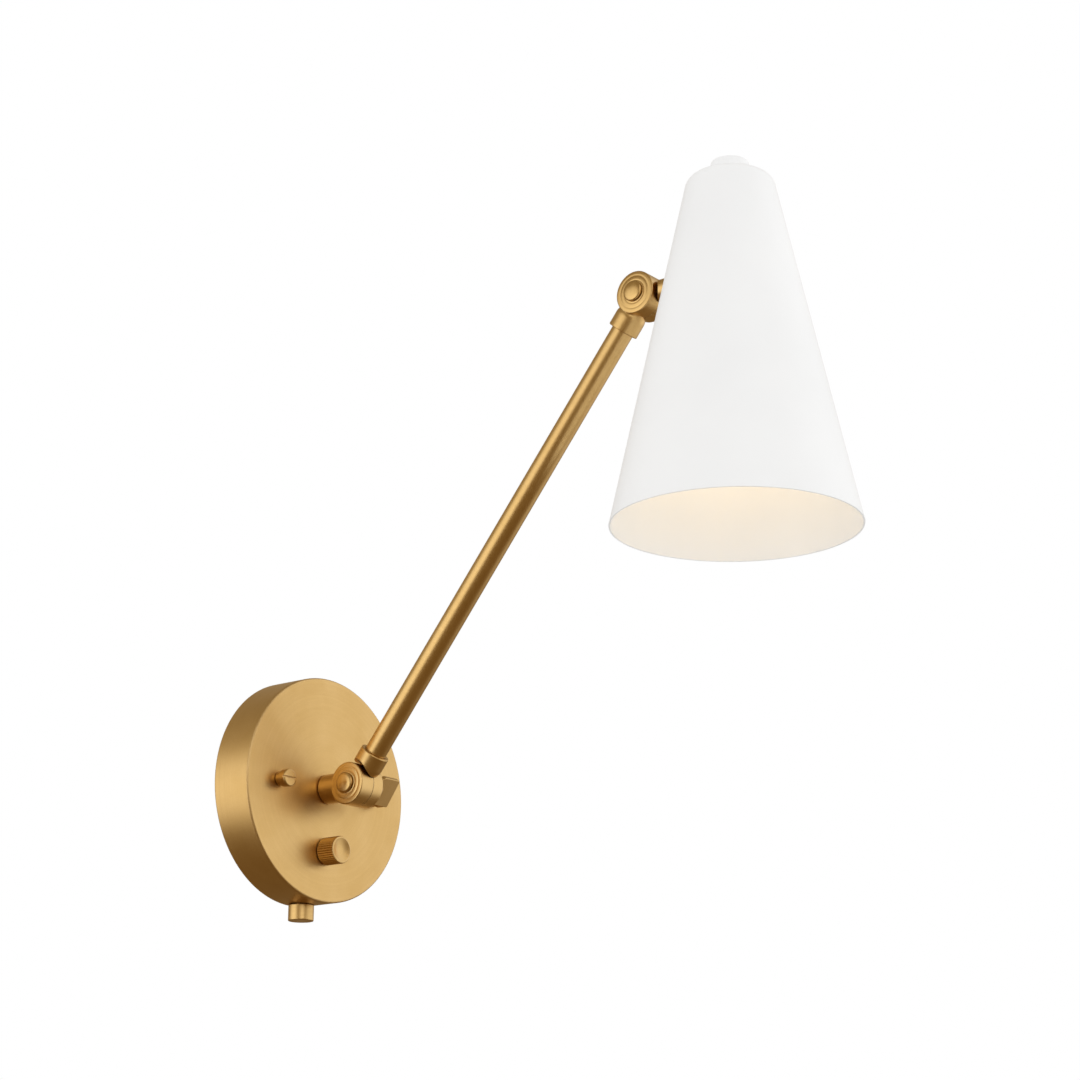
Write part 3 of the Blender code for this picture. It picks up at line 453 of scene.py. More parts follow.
def lathe(profile, segments=ROUND, axis="Z", shape=None, slot=0):
    """Turn a profile of (radius, height) points about the axis.

    shape(angle, radius, height) may change the radius, so that ribs, flats and threads can be cut."""
    mesh = bmesh.new()
    rings = []
    for radius, height in profile:
        if radius < 1e-9:
            rings.append([mesh.verts.new((0, 0, height))])
            continue
        ring = []
        for index in range(segments):
            angle = 2 * math.pi * index / segments
            reach = shape(angle, radius, height) if shape else radius
            ring.append(mesh.verts.new((reach * math.cos(angle), reach * math.sin(angle), height)))
        rings.append(ring)
    pairs = list(zip(rings, rings[1:]))
    if len(rings[0]) > 1 or len(rings[-1]) > 1:
        pairs.append((rings[-1], rings[0]))
    for low, high in pairs:
        if len(low) == 1 and len(high) == 1:
            continue
        for index in range(segments):
            following = (index + 1) % segments
            corners = [low[index % len(low)], low[following % len(low)],
                       high[following % len(high)], high[index % len(high)]]
            face = mesh.faces.new(list(dict.fromkeys(corners)))
            face.material_index = slot
    bmesh.ops.recalc_face_normals(mesh, faces=mesh.faces)
    if axis == "X":
        bmesh.ops.transform(mesh, matrix=Matrix.Rotation(math.pi / 2, 4, "Y"), verts=mesh.verts)
    return mesh


def rod(radius, start, end, segments=SMALL, axis="Z", at=(0, 0, 0), slot=0):
    mesh = lathe([(0, start), (radius, start), (radius, end), (0, end)], segments, axis, slot=slot)
    bmesh.ops.translate(mesh, verts=mesh.verts, vec=at)
    return mesh


def threaded(radius, start, end, bore=0.0, segments=40, pitch=THREAD_PITCH, depth=THREAD_DEPTH):
    """A screw thread as a true helix, fading out at its ends, with an optional bore."""
    steps = max(8, int((end - start) / pitch * 6))

    def helix(angle, reach, height):
        if reach < radius - 1e-9:
            return reach
        phase = (height - start) / pitch - angle / (2 * math.pi)
        valley = 2 * abs(phase % 1 - 0.5)
        return radius - depth * valley

    profile = [(radius, start + (end - start) * step / steps) for step in range(steps + 1)]
    inner = radius - depth * 1.3
    profile = [(inner, start - 1e-5)] + profile + [(inner, end + 1e-5)]
    if bore:
        profile = [(bore, start - 1e-5)] + profile + [(bore, end + 1e-5)]
    else:
        profile = [(0, start - 1e-5)] + profile + [(0, end + 1e-5)]
    return lathe(profile, segments, shape=helix)


def block(size, at, turn=0):
    """A plain box for cutting slots, turned about Z and centred at a point."""
    mesh = bmesh.new()
    bmesh.ops.create_cube(mesh, size=1.0)
    bmesh.ops.scale(mesh, verts=mesh.verts, vec=size)
    bmesh.ops.rotate(mesh, verts=mesh.verts, matrix=Matrix.Rotation(turn, 3, "Z"))
    bmesh.ops.translate(mesh, verts=mesh.verts, vec=at)
    return mesh


def plate(outline, near, far, fillet=0.0, slot=0):
    """A flat outline in X and Z, extruded along Y from near to far, with rounded long edges."""
    mesh = bmesh.new()
    face = mesh.faces.new([mesh.verts.new((x, near, z)) for x, z in outline])
    grown = bmesh.ops.extrude_face_region(mesh, geom=[face])
    moved = [item for item in grown["geom"] if isinstance(item, bmesh.types.BMVert)]
    bmesh.ops.translate(mesh, verts=moved, vec=(0, far - near, 0))
    bmesh.ops.recalc_face_normals(mesh, faces=mesh.faces)
    if fillet:
        long_edges = [edge for edge in mesh.edges
                      if abs(edge.verts[0].co.y - edge.verts[1].co.y) < 1e-7]
        bmesh.ops.bevel(mesh, geom=long_edges, offset=fillet, segments=3, profile=0.5, affect="EDGES")
    for face in mesh.faces:
        face.material_index = slot
    return mesh


def turned_about_x(mesh, angle, at=(0, 0, 0)):
    bmesh.ops.rotate(mesh, verts=mesh.verts, matrix=Matrix.Rotation(angle, 3, "X"))
    bmesh.ops.translate(mesh, verts=mesh.verts, vec=at)
    return mesh


def merged(*meshes):
    """Several closed meshes as one piece."""
    first = meshes[0]
    for other in meshes[1:]:
        data = bpy.data.meshes.new("part")
        other.to_mesh(data)
        other.free()
        first.from_mesh(data)
        bpy.data.meshes.remove(data)
    return first


def new_object(name, mesh, materials):
    data = bpy.data.meshes.new(name)
    mesh.to_mesh(data)
    mesh.free()
    for material in materials:
        data.materials.append(material)
    made = bpy.data.objects.new(name, data)
    bpy.context.scene.collection.objects.link(made)
    return made


def carve(made, mesh, operation="DIFFERENCE"):
    """Apply one exact Boolean to the piece."""
    tool = new_object("tool", mesh, made.data.materials)
    modifier = made.modifiers.new("carve", "BOOLEAN")
    modifier.operation = operation
    modifier.solver = "EXACT"
    modifier.object = tool
    depsgraph = bpy.context.evaluated_depsgraph_get()
    result = bpy.data.meshes.new_from_object(made.evaluated_get(depsgraph))
    made.modifiers.clear()
    old = made.data
    made.data = result
    bpy.data.meshes.remove(old)
    old = tool.data
    bpy.data.objects.remove(tool)
    bpy.data.meshes.remove(old)


def stand_for(made, node):
    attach(made, BODY_OF[node])
    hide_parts(node)


def finish_piece(made, node, matrix, sharp=32):
    """Shade the piece, put it in place, and let it stand for its CAD node."""
    made.data.shade_smooth()
    made.data.set_sharp_from_angle(angle=math.radians(sharp))
    even = made.modifiers.new("even_shading", "WEIGHTED_NORMAL")
    even.keep_sharp = True
    made.matrix_world = matrix
    stand_for(made, node)


def piece(node, mesh, material, matrix, sharp=32):
    made = new_object(f"{node}_look", mesh, [material])
    finish_piece(made, node, matrix, sharp)


def turned_piece(node, corners, fillets, material, matrix, steps=6, segments=ROUND):
    """A piece turned from a profile with a fillet at each of its corners."""
    piece(node, lathe(rounded(corners, fillets, steps), segments), material, matrix)


# ---------------------------------------------------------------- knuckles
FACED = 0                       # material slots of a knuckle
NECK = 1
CUT = 2
KNUCKLE_FINISHES = [BRASS_FACED, BRASS_TURNED, BRASS_CUT]


def relief(side):
    """The space that the other disc turns in.  Its flat end trims this half's own disc at the seam."""
    edge = SEAM - side * GAP / 2
    reach = NECK_RADIUS + SEAM
    steps = 14
    flare = []
    for step in range(steps + 1):
        across = step / steps
        flare.append((RELIEF_RADIUS + RELIEF_FLARE * across ** 2, edge + side * reach * across))
    far = SEAM + side * (reach + 0.004)
    profile = [(0, edge)] + flare + [(flare[-1][0], far), (0, far)]
    return lathe(profile, ROUND, "X", slot=CUT)


def wire_chamber(side):
    """A ring-shaped hollow round the bolt's hub, for the wires."""
    hub = 0.0042
    outer = 0.0086
    seat = SEAM + side * 0.0008
    floor = SEAM + side * 0.0062
    mouth = SEAM - side * 0.0010
    profile = [(0, seat), (hub, seat), (hub, floor), (outer, floor), (outer, mouth), (0, mouth)]
    return lathe(profile, SMALL, "X", slot=CUT)


def disc(side):
    """A disc with a slightly crowned face, on which the turning tool left fine rings."""
    outer_face = DISC_LEFT if side < 0 else DISC_RIGHT
    past_seam = SEAM - side * 0.0010
    crown = side * DISC_CROWN
    corners = [(DISC_RADIUS, past_seam), (DISC_RADIUS, outer_face - crown),
               (BUTTON_RADIUS, outer_face - crown * (BUTTON_RADIUS / DISC_RADIUS) ** 2)]
    rim = rounded(corners, [0, 0.0006, 0], steps=5)
    face = []
    face_edge = DISC_RADIUS * 0.94
    steps = 24
    grooved_steps = (4, 5, 10)
    for step in range(steps + 1):
        radius = face_edge * (1 - step / steps)
        groove = side * TURNED_GROOVE if step in grooved_steps else 0
        face.append((radius, outer_face - groove - crown * (radius / DISC_RADIUS) ** 2))
    return lathe([(0, past_seam)] + rim[:-1] + face, ROUND, "X", slot=FACED)


def knuckle(node, side, neck_profile, neck_end, bore, depth, matrix, saddle=None):
    """One half of a swivel: side -1 lies left of the seam and side +1 lies right of it.

    The tube or pipe sits in a bore that reaches in to depth from the pivot."""
    made = new_object(f"{node}_look", disc(side), KNUCKLE_FINISHES)
    carve(made, lathe(neck_profile, ROUND, slot=NECK), "UNION")
    carve(made, relief(-side))
    carve(made, wire_chamber(side))
    way = 0.0030
    way_start = 0.0060
    past_neck = neck_end + 0.001
    socket = [(0, way_start), (way, way_start), (way, depth), (bore, depth), (bore, past_neck),
              (0, past_neck)]
    carve(made, lathe(socket, SMALL, slot=CUT))
    past_disc = 0.012
    carve(made, rod(BOLT_RADIUS + GAP, -past_disc, past_disc, SMALL, "X", slot=CUT))
    if saddle:
        carve(made, saddle)
    finish_piece(made, node, matrix)


def plain_neck():
    corners = [(0, 0), (NECK_RADIUS, 0), (NECK_RADIUS, NECK_LENGTH), (0, NECK_LENGTH)]
    return rounded(corners, [0, 0, 0.0007, 0], steps=5)


def cup():
    """A neck with a round bottom, whose rim has a small fillet."""
    steps = 16
    dome = []
    for step in range(steps + 1):
        angle = math.pi / 2 * step / steps
        dome.append((NECK_RADIUS * math.sin(angle), DOME_CENTRE - NECK_RADIUS * math.cos(angle)))
    rim = rounded([(NECK_RADIUS, DOME_CENTRE), (NECK_RADIUS, NECK_LENGTH), (0, NECK_LENGTH)],
                  [0, 0.0005, 0], steps=5)
    return dome + rim[1:]


def pivot_bolt(node, location):
    """A bolt with a low domed button head and a plain shank with a chamfered end."""
    seat = DISC_LEFT - GAP
    skirt = 0.0007
    crown = BUTTON_HEIGHT - skirt
    head = []
    steps = 12
    for step in range(steps + 1):
        across = step / steps
        radius = BUTTON_RADIUS * math.sin(math.pi / 2 * across)
        head.append((radius, seat - skirt - crown * math.cos(math.pi / 2 * across) ** 0.8))
    head[-1] = (BUTTON_RADIUS, seat - skirt)
    corner = [(BUTTON_RADIUS, seat - 0.0001), (BUTTON_RADIUS - 0.0001, seat)]
    shank = [(BOLT_RADIUS, seat), (BOLT_RADIUS, BOLT_END - 0.0004), (BOLT_RADIUS - 0.0004, BOLT_END),
             (0, BOLT_END)]
    piece(node, lathe(head + corner + shank, ROUND, "X"), BRASS_FACED, placed(location))


def thumb_nut(node, location):
    """A flat paddle on a round hub, threaded on the end of the bolt."""
    seat = DISC_RIGHT + GAP
    corners = [(0, seat), (0.0050, seat), (0.0050, seat + 0.0050), (0.0036, seat + 0.0082),
               (0, seat + 0.0088)]
    hub = rounded(corners, [0, 0.0003, 0.0020, 0.0012, 0], steps=6)
    made = new_object(f"{node}_look", lathe(hub, SMALL, "X", slot=FACED), KNUCKLE_FINISHES)
    root = seat + 0.0030
    flare = seat + 0.0075
    wide = PADDLE_HALF_WIDTH
    outline = rounded([(root, -0.0040), (flare, -wide), (PADDLE_END, -wide),
                       (PADDLE_END, wide), (flare, wide), (root, 0.0040)],
                      [0, 0.0026, 0.0012, 0.0012, 0.0026, 0], steps=8)
    half = PADDLE_THICKNESS / 2
    carve(made, plate(outline, half, -half, fillet=0.0004, slot=CUT), "UNION")
    carve(made, rod(BOLT_RADIUS + GAP, seat - 0.001, BOLT_END + GAP, SMALL, "X", slot=CUT))
    finish_piece(made, node, placed(location, math.pi / 2 - PADDLE_ANGLE))


# ---------------------------------------------------------------- hardware
def hex_nut(node, across_flats, hole, start, end, matrix):
    """A chamfered six-sided steel nut."""
    apothem = across_flats / 2
    chamfer = 0.0006
    middle = (hole + apothem) / 2

    def hexagon(angle, radius, height):
        if radius < middle:
            return radius
        off_flat = angle % math.radians(60) - math.radians(30)
        flat = apothem / math.cos(off_flat)
        edge = min(height - start, end - height)
        round_limit = apothem * 1.02 + edge * 2.0
        return min(flat, round_limit)

    heights = [start, start + chamfer * 0.33, start + chamfer * 0.66, start + chamfer,
               end - chamfer, end - chamfer * 0.66, end - chamfer * 0.33, end]
    inner = 0.0003
    profile = [(hole + inner, start)] + [(apothem, height) for height in heights]
    profile += [(hole + inner, end), (hole, end - inner), (hole, start + inner)]
    piece(node, lathe(profile, 72, shape=hexagon), STEEL, matrix, sharp=25)


def washer(node, outer, hole, start, end, matrix):
    edge = min(0.0003, (end - start) / 3)
    corners = [(hole, start), (outer, start), (outer, end), (hole, end)]
    turned_piece(node, corners, [edge / 2, edge, edge, edge / 2], STEEL, matrix, 3, SMALL)


# ---------------------------------------------------------------- wall side
def canopy():
    """The spun cup over the outlet box, with holes for the stem, dimmer, studs and plug."""
    wall = CANOPY_WALL
    edge = 0.0012
    corners = [(0, CANOPY_DEPTH), (CANOPY_RADIUS, CANOPY_DEPTH), (CANOPY_RADIUS, 0),
               (CANOPY_RADIUS - wall, 0), (CANOPY_RADIUS - wall, CANOPY_DEPTH - wall),
               (0, CANOPY_DEPTH - wall)]
    profile = rounded(corners, [0, edge, 0.0003, 0.0003, edge - wall / 2, 0], steps=7)
    made = new_object("canopy_look", lathe(profile, FINE), [BRASS_CANOPY])
    low = CANOPY_DEPTH - 0.004
    high = CANOPY_DEPTH + 0.004
    carve(made, rod(NIPPLE_HOLE, low, high))
    carve(made, rod(DIMMER_BUSHING + GAP, low, high, at=(0, KNOB_PLACE.z, 0)))
    off_the_grid = 0.00011      # keeps the cutter's edges off the canopy's own
    for x in (-STUD_SPREAD, STUD_SPREAD):
        carve(made, rod(STUD_RADIUS + GAP, low, high, at=(x, off_the_grid, 0)))
    hole = rod(PLUG_STEM + GAP, CANOPY_RADIUS - 0.006, CANOPY_RADIUS + 0.004)
    carve(made, turned_about_x(hole, math.pi / 2, (0, 0, PLUG_FROM_WALL)))
    finish_piece(made, "canopy", placed((0, 0, 0), OUTWARD), sharp=28)


def cap_nut(node, x):
    """A round slotted nut on a narrower collar."""
    seat = CANOPY_DEPTH + GAP
    collar = 0.0042
    head = 0.0050
    top = seat + 0.0078
    corners = [(0, seat), (collar, seat), (collar, seat + 0.0031), (head, seat + 0.0034),
               (head, top), (0, top)]
    profile = rounded(corners, [0, 0.0003, 0.0002, 0.0004, 0.0011, 0], steps=6)
    made = new_object(f"{node}_look", lathe(profile, ROUND), [BRASS_TURNED])
    carve(made, rod(STUD_RADIUS + GAP, seat - 0.001, CANOPY_DEPTH + 0.0066))
    off_the_grid = 0.00003      # keeps the cutter's edges off the nut's own
    carve(made, block((0.012, 0.0010, 0.0026), (0, off_the_grid, top)))
    finish_piece(made, node, placed((x, 0, 0), OUTWARD))


def bracket():
    """A flat steel cross: studs on its level arms, box screw slots in its upright arms."""
    reach = BRACKET_REACH
    half = BRACKET_HALF_WIDTH
    corners = [(-reach, -half), (-half, -half), (-half, -reach), (half, -reach), (half, -half),
               (reach, -half), (reach, half), (half, half), (half, reach), (-half, reach),
               (-half, half), (-reach, half)]
    ends = 0.0030
    inner = 0.0012
    radii = [ends, inner, ends, ends, inner, ends, ends, inner, ends, ends, inner, ends]
    outline = rounded(corners, radii, steps=6)
    made = new_object("mounting_bracket_look", plate(outline, -BRACKET_THICKNESS, 0, fillet=0.0003),
                      [STEEL])
    for side in (1, -1):
        slot = rounded([(-0.0023, side * 0.0320), (0.0023, side * 0.0320),
                        (0.0023, side * 0.0470), (-0.0023, side * 0.0470)], [0.0022] * 4, steps=8)
        carve(made, plate(slot, -0.004, 0.002))
    for x in (-STUD_SPREAD, STUD_SPREAD, GROUND_SCREW_X):
        carve(made, turned_about_x(rod(STUD_RADIUS + GAP, -0.002, 0.004), math.pi / 2, (x, 0, 0)))
    finish_piece(made, "mounting_bracket", placed((0, 0, 0)))


def ground_screw():
    """A green screw with a domed head and a cross recess."""
    face = BRACKET_THICKNESS + GAP
    head = 0.0040
    top = face + 0.0026
    corners = [(0, 0.0002), (STUD_RADIUS, 0.0002), (STUD_RADIUS, face), (head, face), (head, top),
               (0, top)]
    profile = rounded(corners, [0, 0.0003, 0, 0.0003, 0.0014, 0], steps=6)
    made = new_object("ground_screw_look", lathe(profile, SMALL), [GREEN_STEEL])
    for turn in (0, math.pi / 2):
        carve(made, block((0.0046, 0.0009, 0.0024), (0, 0, top), turn))
    finish_piece(made, "ground_screw", placed((GROUND_SCREW_X, 0, 0), OUTWARD))


# ---------------------------------------------------------------- dimmer
def dimmer_body():
    """A moulded box with a bushing and two rivets."""
    back = CANOPY_DEPTH - CANOPY_WALL - GAP
    depth = 0.0125
    half = 0.0105
    outline = rounded([(-half, -half), (half, -half), (half, half), (-half, half)], [0.0015] * 4)
    made = new_object("dimmer_body_look", plate(outline, depth - back, -back, fillet=0.0005),
                      [BLACK, BARE_BRASS])
    bushing = rod(DIMMER_BUSHING, back - 0.002, CANOPY_DEPTH + 0.0022, slot=1)
    carve(made, turned_about_x(bushing, math.pi / 2), "UNION")
    way = rod(SHAFT_RADIUS + GAP, back - 0.0080, CANOPY_DEPTH + 0.005, slot=1)
    carve(made, turned_about_x(way, math.pi / 2))
    rivets = []
    for x, z in ((-0.0078, 0.0078), (0.0078, -0.0078)):
        head = lathe([(0, 0), (0.0013, 0), (0.0011, 0.0004), (0.0006, 0.0007), (0, 0.0008)], 24, slot=1)
        rivets.append(turned_about_x(head, -math.pi / 2, (x, depth - back, z)))
    whole = bmesh.new()
    whole.from_mesh(made.data)
    whole = merged(whole, *rivets)
    whole.to_mesh(made.data)
    whole.free()
    finish_piece(made, "dimmer_body", placed(KNOB_PLACE))


def dimmer_shaft():
    start = CANOPY_DEPTH - CANOPY_WALL - 0.0075
    end = CANOPY_DEPTH + SHAFT_END
    corners = [(0, start), (SHAFT_RADIUS, start), (SHAFT_RADIUS, end), (0, end)]
    turned_piece("dimmer_shaft", corners, [0, 0.0003, 0.0004, 0], BARE_BRASS, KNOB_FRAME, 4, SMALL)


def dimmer_knob():
    """Straight-knurled side, dished face, hollow at the back to clear the nut."""
    seat = CANOPY_DEPTH + 0.0004
    face = seat + KNOB_LENGTH
    lip = KNOB_RADIUS - 0.0011
    skirt = KNOB_RADIUS - 0.0010
    well = seat + 0.0026
    shaft_hole = SHAFT_RADIUS + GAP
    stop = CANOPY_DEPTH + SHAFT_END + GAP
    ridge = 0.00055
    low = seat + 0.0005
    high = face - 0.0008

    def knurl(angle, radius, height):
        if radius < KNOB_RADIUS - 1e-6:
            return radius
        wave = abs((angle * KNOB_RIDGES / (2 * math.pi)) % 1 - 0.5) * 2
        return radius - ridge * wave ** 1.5

    dish = []
    steps = 8
    for step in range(1, steps + 1):
        across = 1 - step / steps
        dish.append((lip * across, face - KNOB_DISH * math.cos(math.pi / 2 * across)))
    profile = [(0, stop), (shaft_hole, stop), (shaft_hole, well), (skirt, well), (skirt, seat),
               (KNOB_RADIUS - 0.0005, seat), (KNOB_RADIUS, low), (KNOB_RADIUS, high),
               (KNOB_RADIUS - 0.0004, face - 0.0002), (lip, face)] + dish
    mesh = lathe(profile, KNOB_RIDGES * 6, shape=knurl)
    piece("dimmer_knob", mesh, BRASS_TURNED, KNOB_FRAME, sharp=40)


# ---------------------------------------------------------------- cord outlet
def outlet_plug():
    """The round plug under the canopy, with a stem that goes in through its side."""
    top = -CANOPY_RADIUS - GAP
    stem_top = -0.0565
    corners = [(0, -PLUG_DROP), (PLUG_RADIUS, -PLUG_DROP), (PLUG_RADIUS, top), (PLUG_STEM, top),
               (PLUG_STEM, stem_top), (0, stem_top)]
    turned_piece("outlet_plug", corners, [0, 0.0005, 0.0002, 0, 0.0004, 0], BRASS_TURNED, PLUG_FRAME)


# ---------------------------------------------------------------- wiring
def smooth_path(points, steps):
    """Points of a Catmull-Rom curve through the given ones."""
    knots = [Vector(point) for point in points]
    knots = [2 * knots[0] - knots[1]] + knots + [2 * knots[-1] - knots[-2]]
    path = []
    for a, b, c, d in zip(knots, knots[1:], knots[2:], knots[3:]):
        for step in range(steps):
            t = step / steps
            path.append(0.5 * (2 * b + (c - a) * t + (2 * a - 5 * b + 4 * c - d) * t * t
                               + (3 * b - a - 3 * c + d) * t ** 3))
    path.append(knots[-2])
    return path


def wire(node, points, radius, material):
    """A round insulated wire along a smooth path, with closed ends."""
    curve = bpy.data.curves.new(f"{node}_look", "CURVE")
    curve.dimensions = "3D"
    path = smooth_path(points, 8)
    spline = curve.splines.new("POLY")
    spline.points.add(len(path) - 1)
    for point, place in zip(spline.points, path):
        point.co = (*place, 1)
    spline.use_smooth = True
    curve.bevel_depth = radius
    curve.bevel_resolution = 4
    curve.use_fill_caps = True
    curve.materials.append(material)
    made = bpy.data.objects.new(f"{node}_look", curve)
    bpy.context.scene.collection.objects.link(made)
    stand_for(made, node)


def wire_connector(node, x, z):
    """A twist-on connector with grip ribs, lying level with its mouth towards the middle."""
    ribs = 14

    def ribbed(angle, radius, height):
        if radius < 0.0036 or height > 0.0150:
            return radius
        return radius - 0.00025 * (0.5 + 0.5 * math.cos(ribs * angle))

    profile = [(0, 0.0040), (0.0034, 0.0040), (0.0042, 0.0002), (0.0046, 0), (0.0052, 0.0003),
               (0.0052, 0.0014), (0.0049, 0.0020), (0.0048, 0.0070), (0.0040, 0.0132),
               (0.0034, 0.0168), (0.0026, 0.0178), (0, 0.0180)]
    mesh = lathe(profile, ribs * 8, "X", shape=ribbed)
    turn = 0 if x > 0 else math.pi
    matrix = Matrix.Translation((x, -CONNECTOR_DEPTH, z)) @ Matrix.Rotation(turn, 4, "Z")
    piece(node, mesh, ORANGE, matrix, sharp=50)


def canopy_wires():
    """From the stem's pipe to the connectors and the ground screw, and from the dimmer's tag."""
    near = -CANOPY_DEPTH + STEM_PIPE_REACH + 0.0012
    wire("line_wire", [(-0.0012, near, 0.0012), (-0.0020, near + 0.0030, 0.0060),
                       (-0.0010, -0.0070, 0.0160), (-0.0020, -0.0100, 0.0270),
                       (-0.0080, -0.0125, 0.0300), (-0.0156, -0.0125, 0.0300)], WIRE_RADIUS, BLACK)
    wire("neutral_wire", [(0.0012, near, 0.0012), (0.0030, near + 0.0030, 0.0060),
                          (0.0040, -0.0080, 0.0160), (0.0050, -0.0110, 0.0270),
                          (0.0095, -0.0125, 0.0300), (0.0156, -0.0125, 0.0300)],
         WIRE_RADIUS, WHITE_PLASTIC)
    wire("ground_wire", [(0.0004, near, -0.0014), (0.0030, near + 0.0040, -0.0050),
                         (0.0100, -0.0070, -0.0060), (0.0170, -0.0056, -0.0030),
                         (0.0200, -0.0056, 0.0000)], GROUND_WIRE_RADIUS, GREEN)
    wire("dimmer_lead", [(-0.0060, -0.0180, -0.0243), (-0.0080, -0.0170, -0.0180),
                         (-0.0150, -0.0120, -0.0080), (-0.0140, -0.0090, 0.0060),
                         (-0.0090, -0.0100, 0.0200), (-0.0100, -0.0110, 0.0268),
                         (-0.0156, -0.0112, 0.0278)], WIRE_RADIUS, BLACK)


def shade_cable():
    """From the pipe in the shade's side up to the socket."""
    x, y, z = SHADE_PLACE
    mouth = UPPER_PIVOT.y - SHADE_PIPE_END - GAP
    wire("shade_cable", [(x, mouth - 0.0003, z), (x, mouth - 0.0022, z + 0.0010),
                         (x, mouth - 0.0034, z + 0.0060), (x, mouth - 0.0026, z + 0.0160),
                         (x, mouth - 0.0020, z + 0.0270), (x, y + 0.0196, z + 0.0380)],
         SHADE_CABLE_RADIUS, WHITE_PLASTIC)


# ---------------------------------------------------------------- arm
def arm_tube_and_cable(matrix):
    start = TUBE_SEAT + GAP
    end = ARM.length - start
    corners = [(TUBE_BORE, start), (TUBE_RADIUS, start), (TUBE_RADIUS, end), (TUBE_BORE, end)]
    turned_piece("arm_tube", corners, [0.0002] * 4, BRASS_TURNED, matrix, 3)
    corners = [(0, start), (ARM_CABLE_RADIUS, start), (ARM_CABLE_RADIUS, end), (0, end)]
    turned_piece("arm_cable", corners, [0, 0.0005, 0.0005, 0], BLACK, matrix, segments=32)


# ---------------------------------------------------------------- shade
def cone_radius(height):
    return SHADE_RIM_RADIUS - SHADE_SLOPE * (height + SHADE_RIM_DROP)


def shade_outline(inset):
    """The shade's profile from rim to top centre, moved in from the outer surface."""
    top = SHADE_TOP_RISE - inset
    across = inset * math.hypot(1, SHADE_SLOPE)
    rim = (cone_radius(-SHADE_RIM_DROP) - across, -SHADE_RIM_DROP)
    corner = (cone_radius(top) - across, top)
    side = []
    steps = 12
    fillet_start = 0.93
    for step in range(1, steps):
        side.append(tuple(Vector(rim).lerp(Vector(corner), step / steps * fillet_start)))
    fillet = rounded([side[-1], corner, (0, top)], [0, SHADE_SHOULDER - inset, 0], steps=12)
    return [rim] + side + fillet[1:]


def shade():
    """The white cone with a rounded rim, and holes for the two pipes."""
    outside = shade_outline(0)
    inside = shade_outline(SHADE_WALL)[::-1]
    edge = 0.0003
    rim_out = Vector(outside[0])
    rim_in = Vector(inside[-1])
    outside[0] = (rim_out.x - SHADE_SLOPE * edge, rim_out.y + edge)
    inside[-1] = (rim_in.x - SHADE_SLOPE * edge, rim_in.y + edge)
    lip = [(rim_in.x + edge * 0.5, rim_in.y), (rim_out.x - edge * 0.5, rim_out.y)]
    made = new_object("shade_look", lathe(outside + inside + lip, FINE), [WHITE])
    through = 0.004
    carve(made, rod(NIPPLE_HOLE, SHADE_TOP_RISE - through, SHADE_TOP_RISE + through))
    carve(made, turned_about_x(rod(NIPPLE_HOLE, 0.0250, 0.0450), -math.pi / 2))
    finish_piece(made, "shade", SHADE_FRAME, sharp=30)


def cone_block(offset):
    """A solid cone that follows the shade's side at a distance outside it, in neck coordinates."""
    high = 0.030
    grow = offset * math.hypot(1, SHADE_SLOPE)
    mesh = lathe([(0, -high), (cone_radius(-high) + grow, -high), (cone_radius(high) + grow, high),
                  (0, high)], 2 * FINE, slot=CUT)
    return turned_about_x(mesh, -math.pi / 2, (0, 0, SHADE_OFFSET))


def top_knob():
    """A plain white knob that closes the shade's top and screws on its pipe."""
    low = SHADE_TOP_RISE + GAP
    top = low + TOP_KNOB_HEIGHT
    bore_top = low + 0.0050
    corners = [(0, bore_top), (NIPPLE_HOLE, bore_top), (NIPPLE_HOLE, low), (TOP_KNOB_RADIUS, low),
               (TOP_KNOB_RADIUS, top), (0, top)]
    turned_piece("top_knob", corners, [0, 0, 0.0002, 0.0004, 0.0010, 0], WHITE, SHADE_FRAME)


def top_pipe_and_nuts():
    """The pipe in the shade's top, with the washer and nut under it."""
    pipe = threaded(NIPPLE_RADIUS, CAP_TOP - 0.0060, SHADE_TOP_RISE + 0.0048, NIPPLE_BORE)
    piece("top_nipple", pipe, STEEL, SHADE_FRAME)
    washer("top_washer", 0.0095, NIPPLE_HOLE, UNDER_TOP - WASHER_HEIGHT, UNDER_TOP, SHADE_FRAME)
    hex_nut("top_lock_nut", LOCK_NUT_FLATS, NIPPLE_HOLE, TOP_NUT_TOP - LOCK_NUT_HEIGHT, TOP_NUT_TOP,
            SHADE_FRAME)


def socket_cap():
    """The socket's stamped brass cap, with a hole for the pipe."""
    radius = 0.0175
    inner = radius - CAP_WALL
    corners = [(NIPPLE_HOLE, CAP_TOP), (radius, CAP_TOP), (radius, CAP_LOW), (inner, CAP_LOW),
               (inner, CAP_TOP - CAP_WALL), (NIPPLE_HOLE, CAP_TOP - CAP_WALL)]
    fillets = [0.0002, 0.0040, 0.0003, 0.0003, 0.0028, 0.0002]
    turned_piece("socket_cap", corners, fillets, BARE_BRASS, SHADE_FRAME, 8)


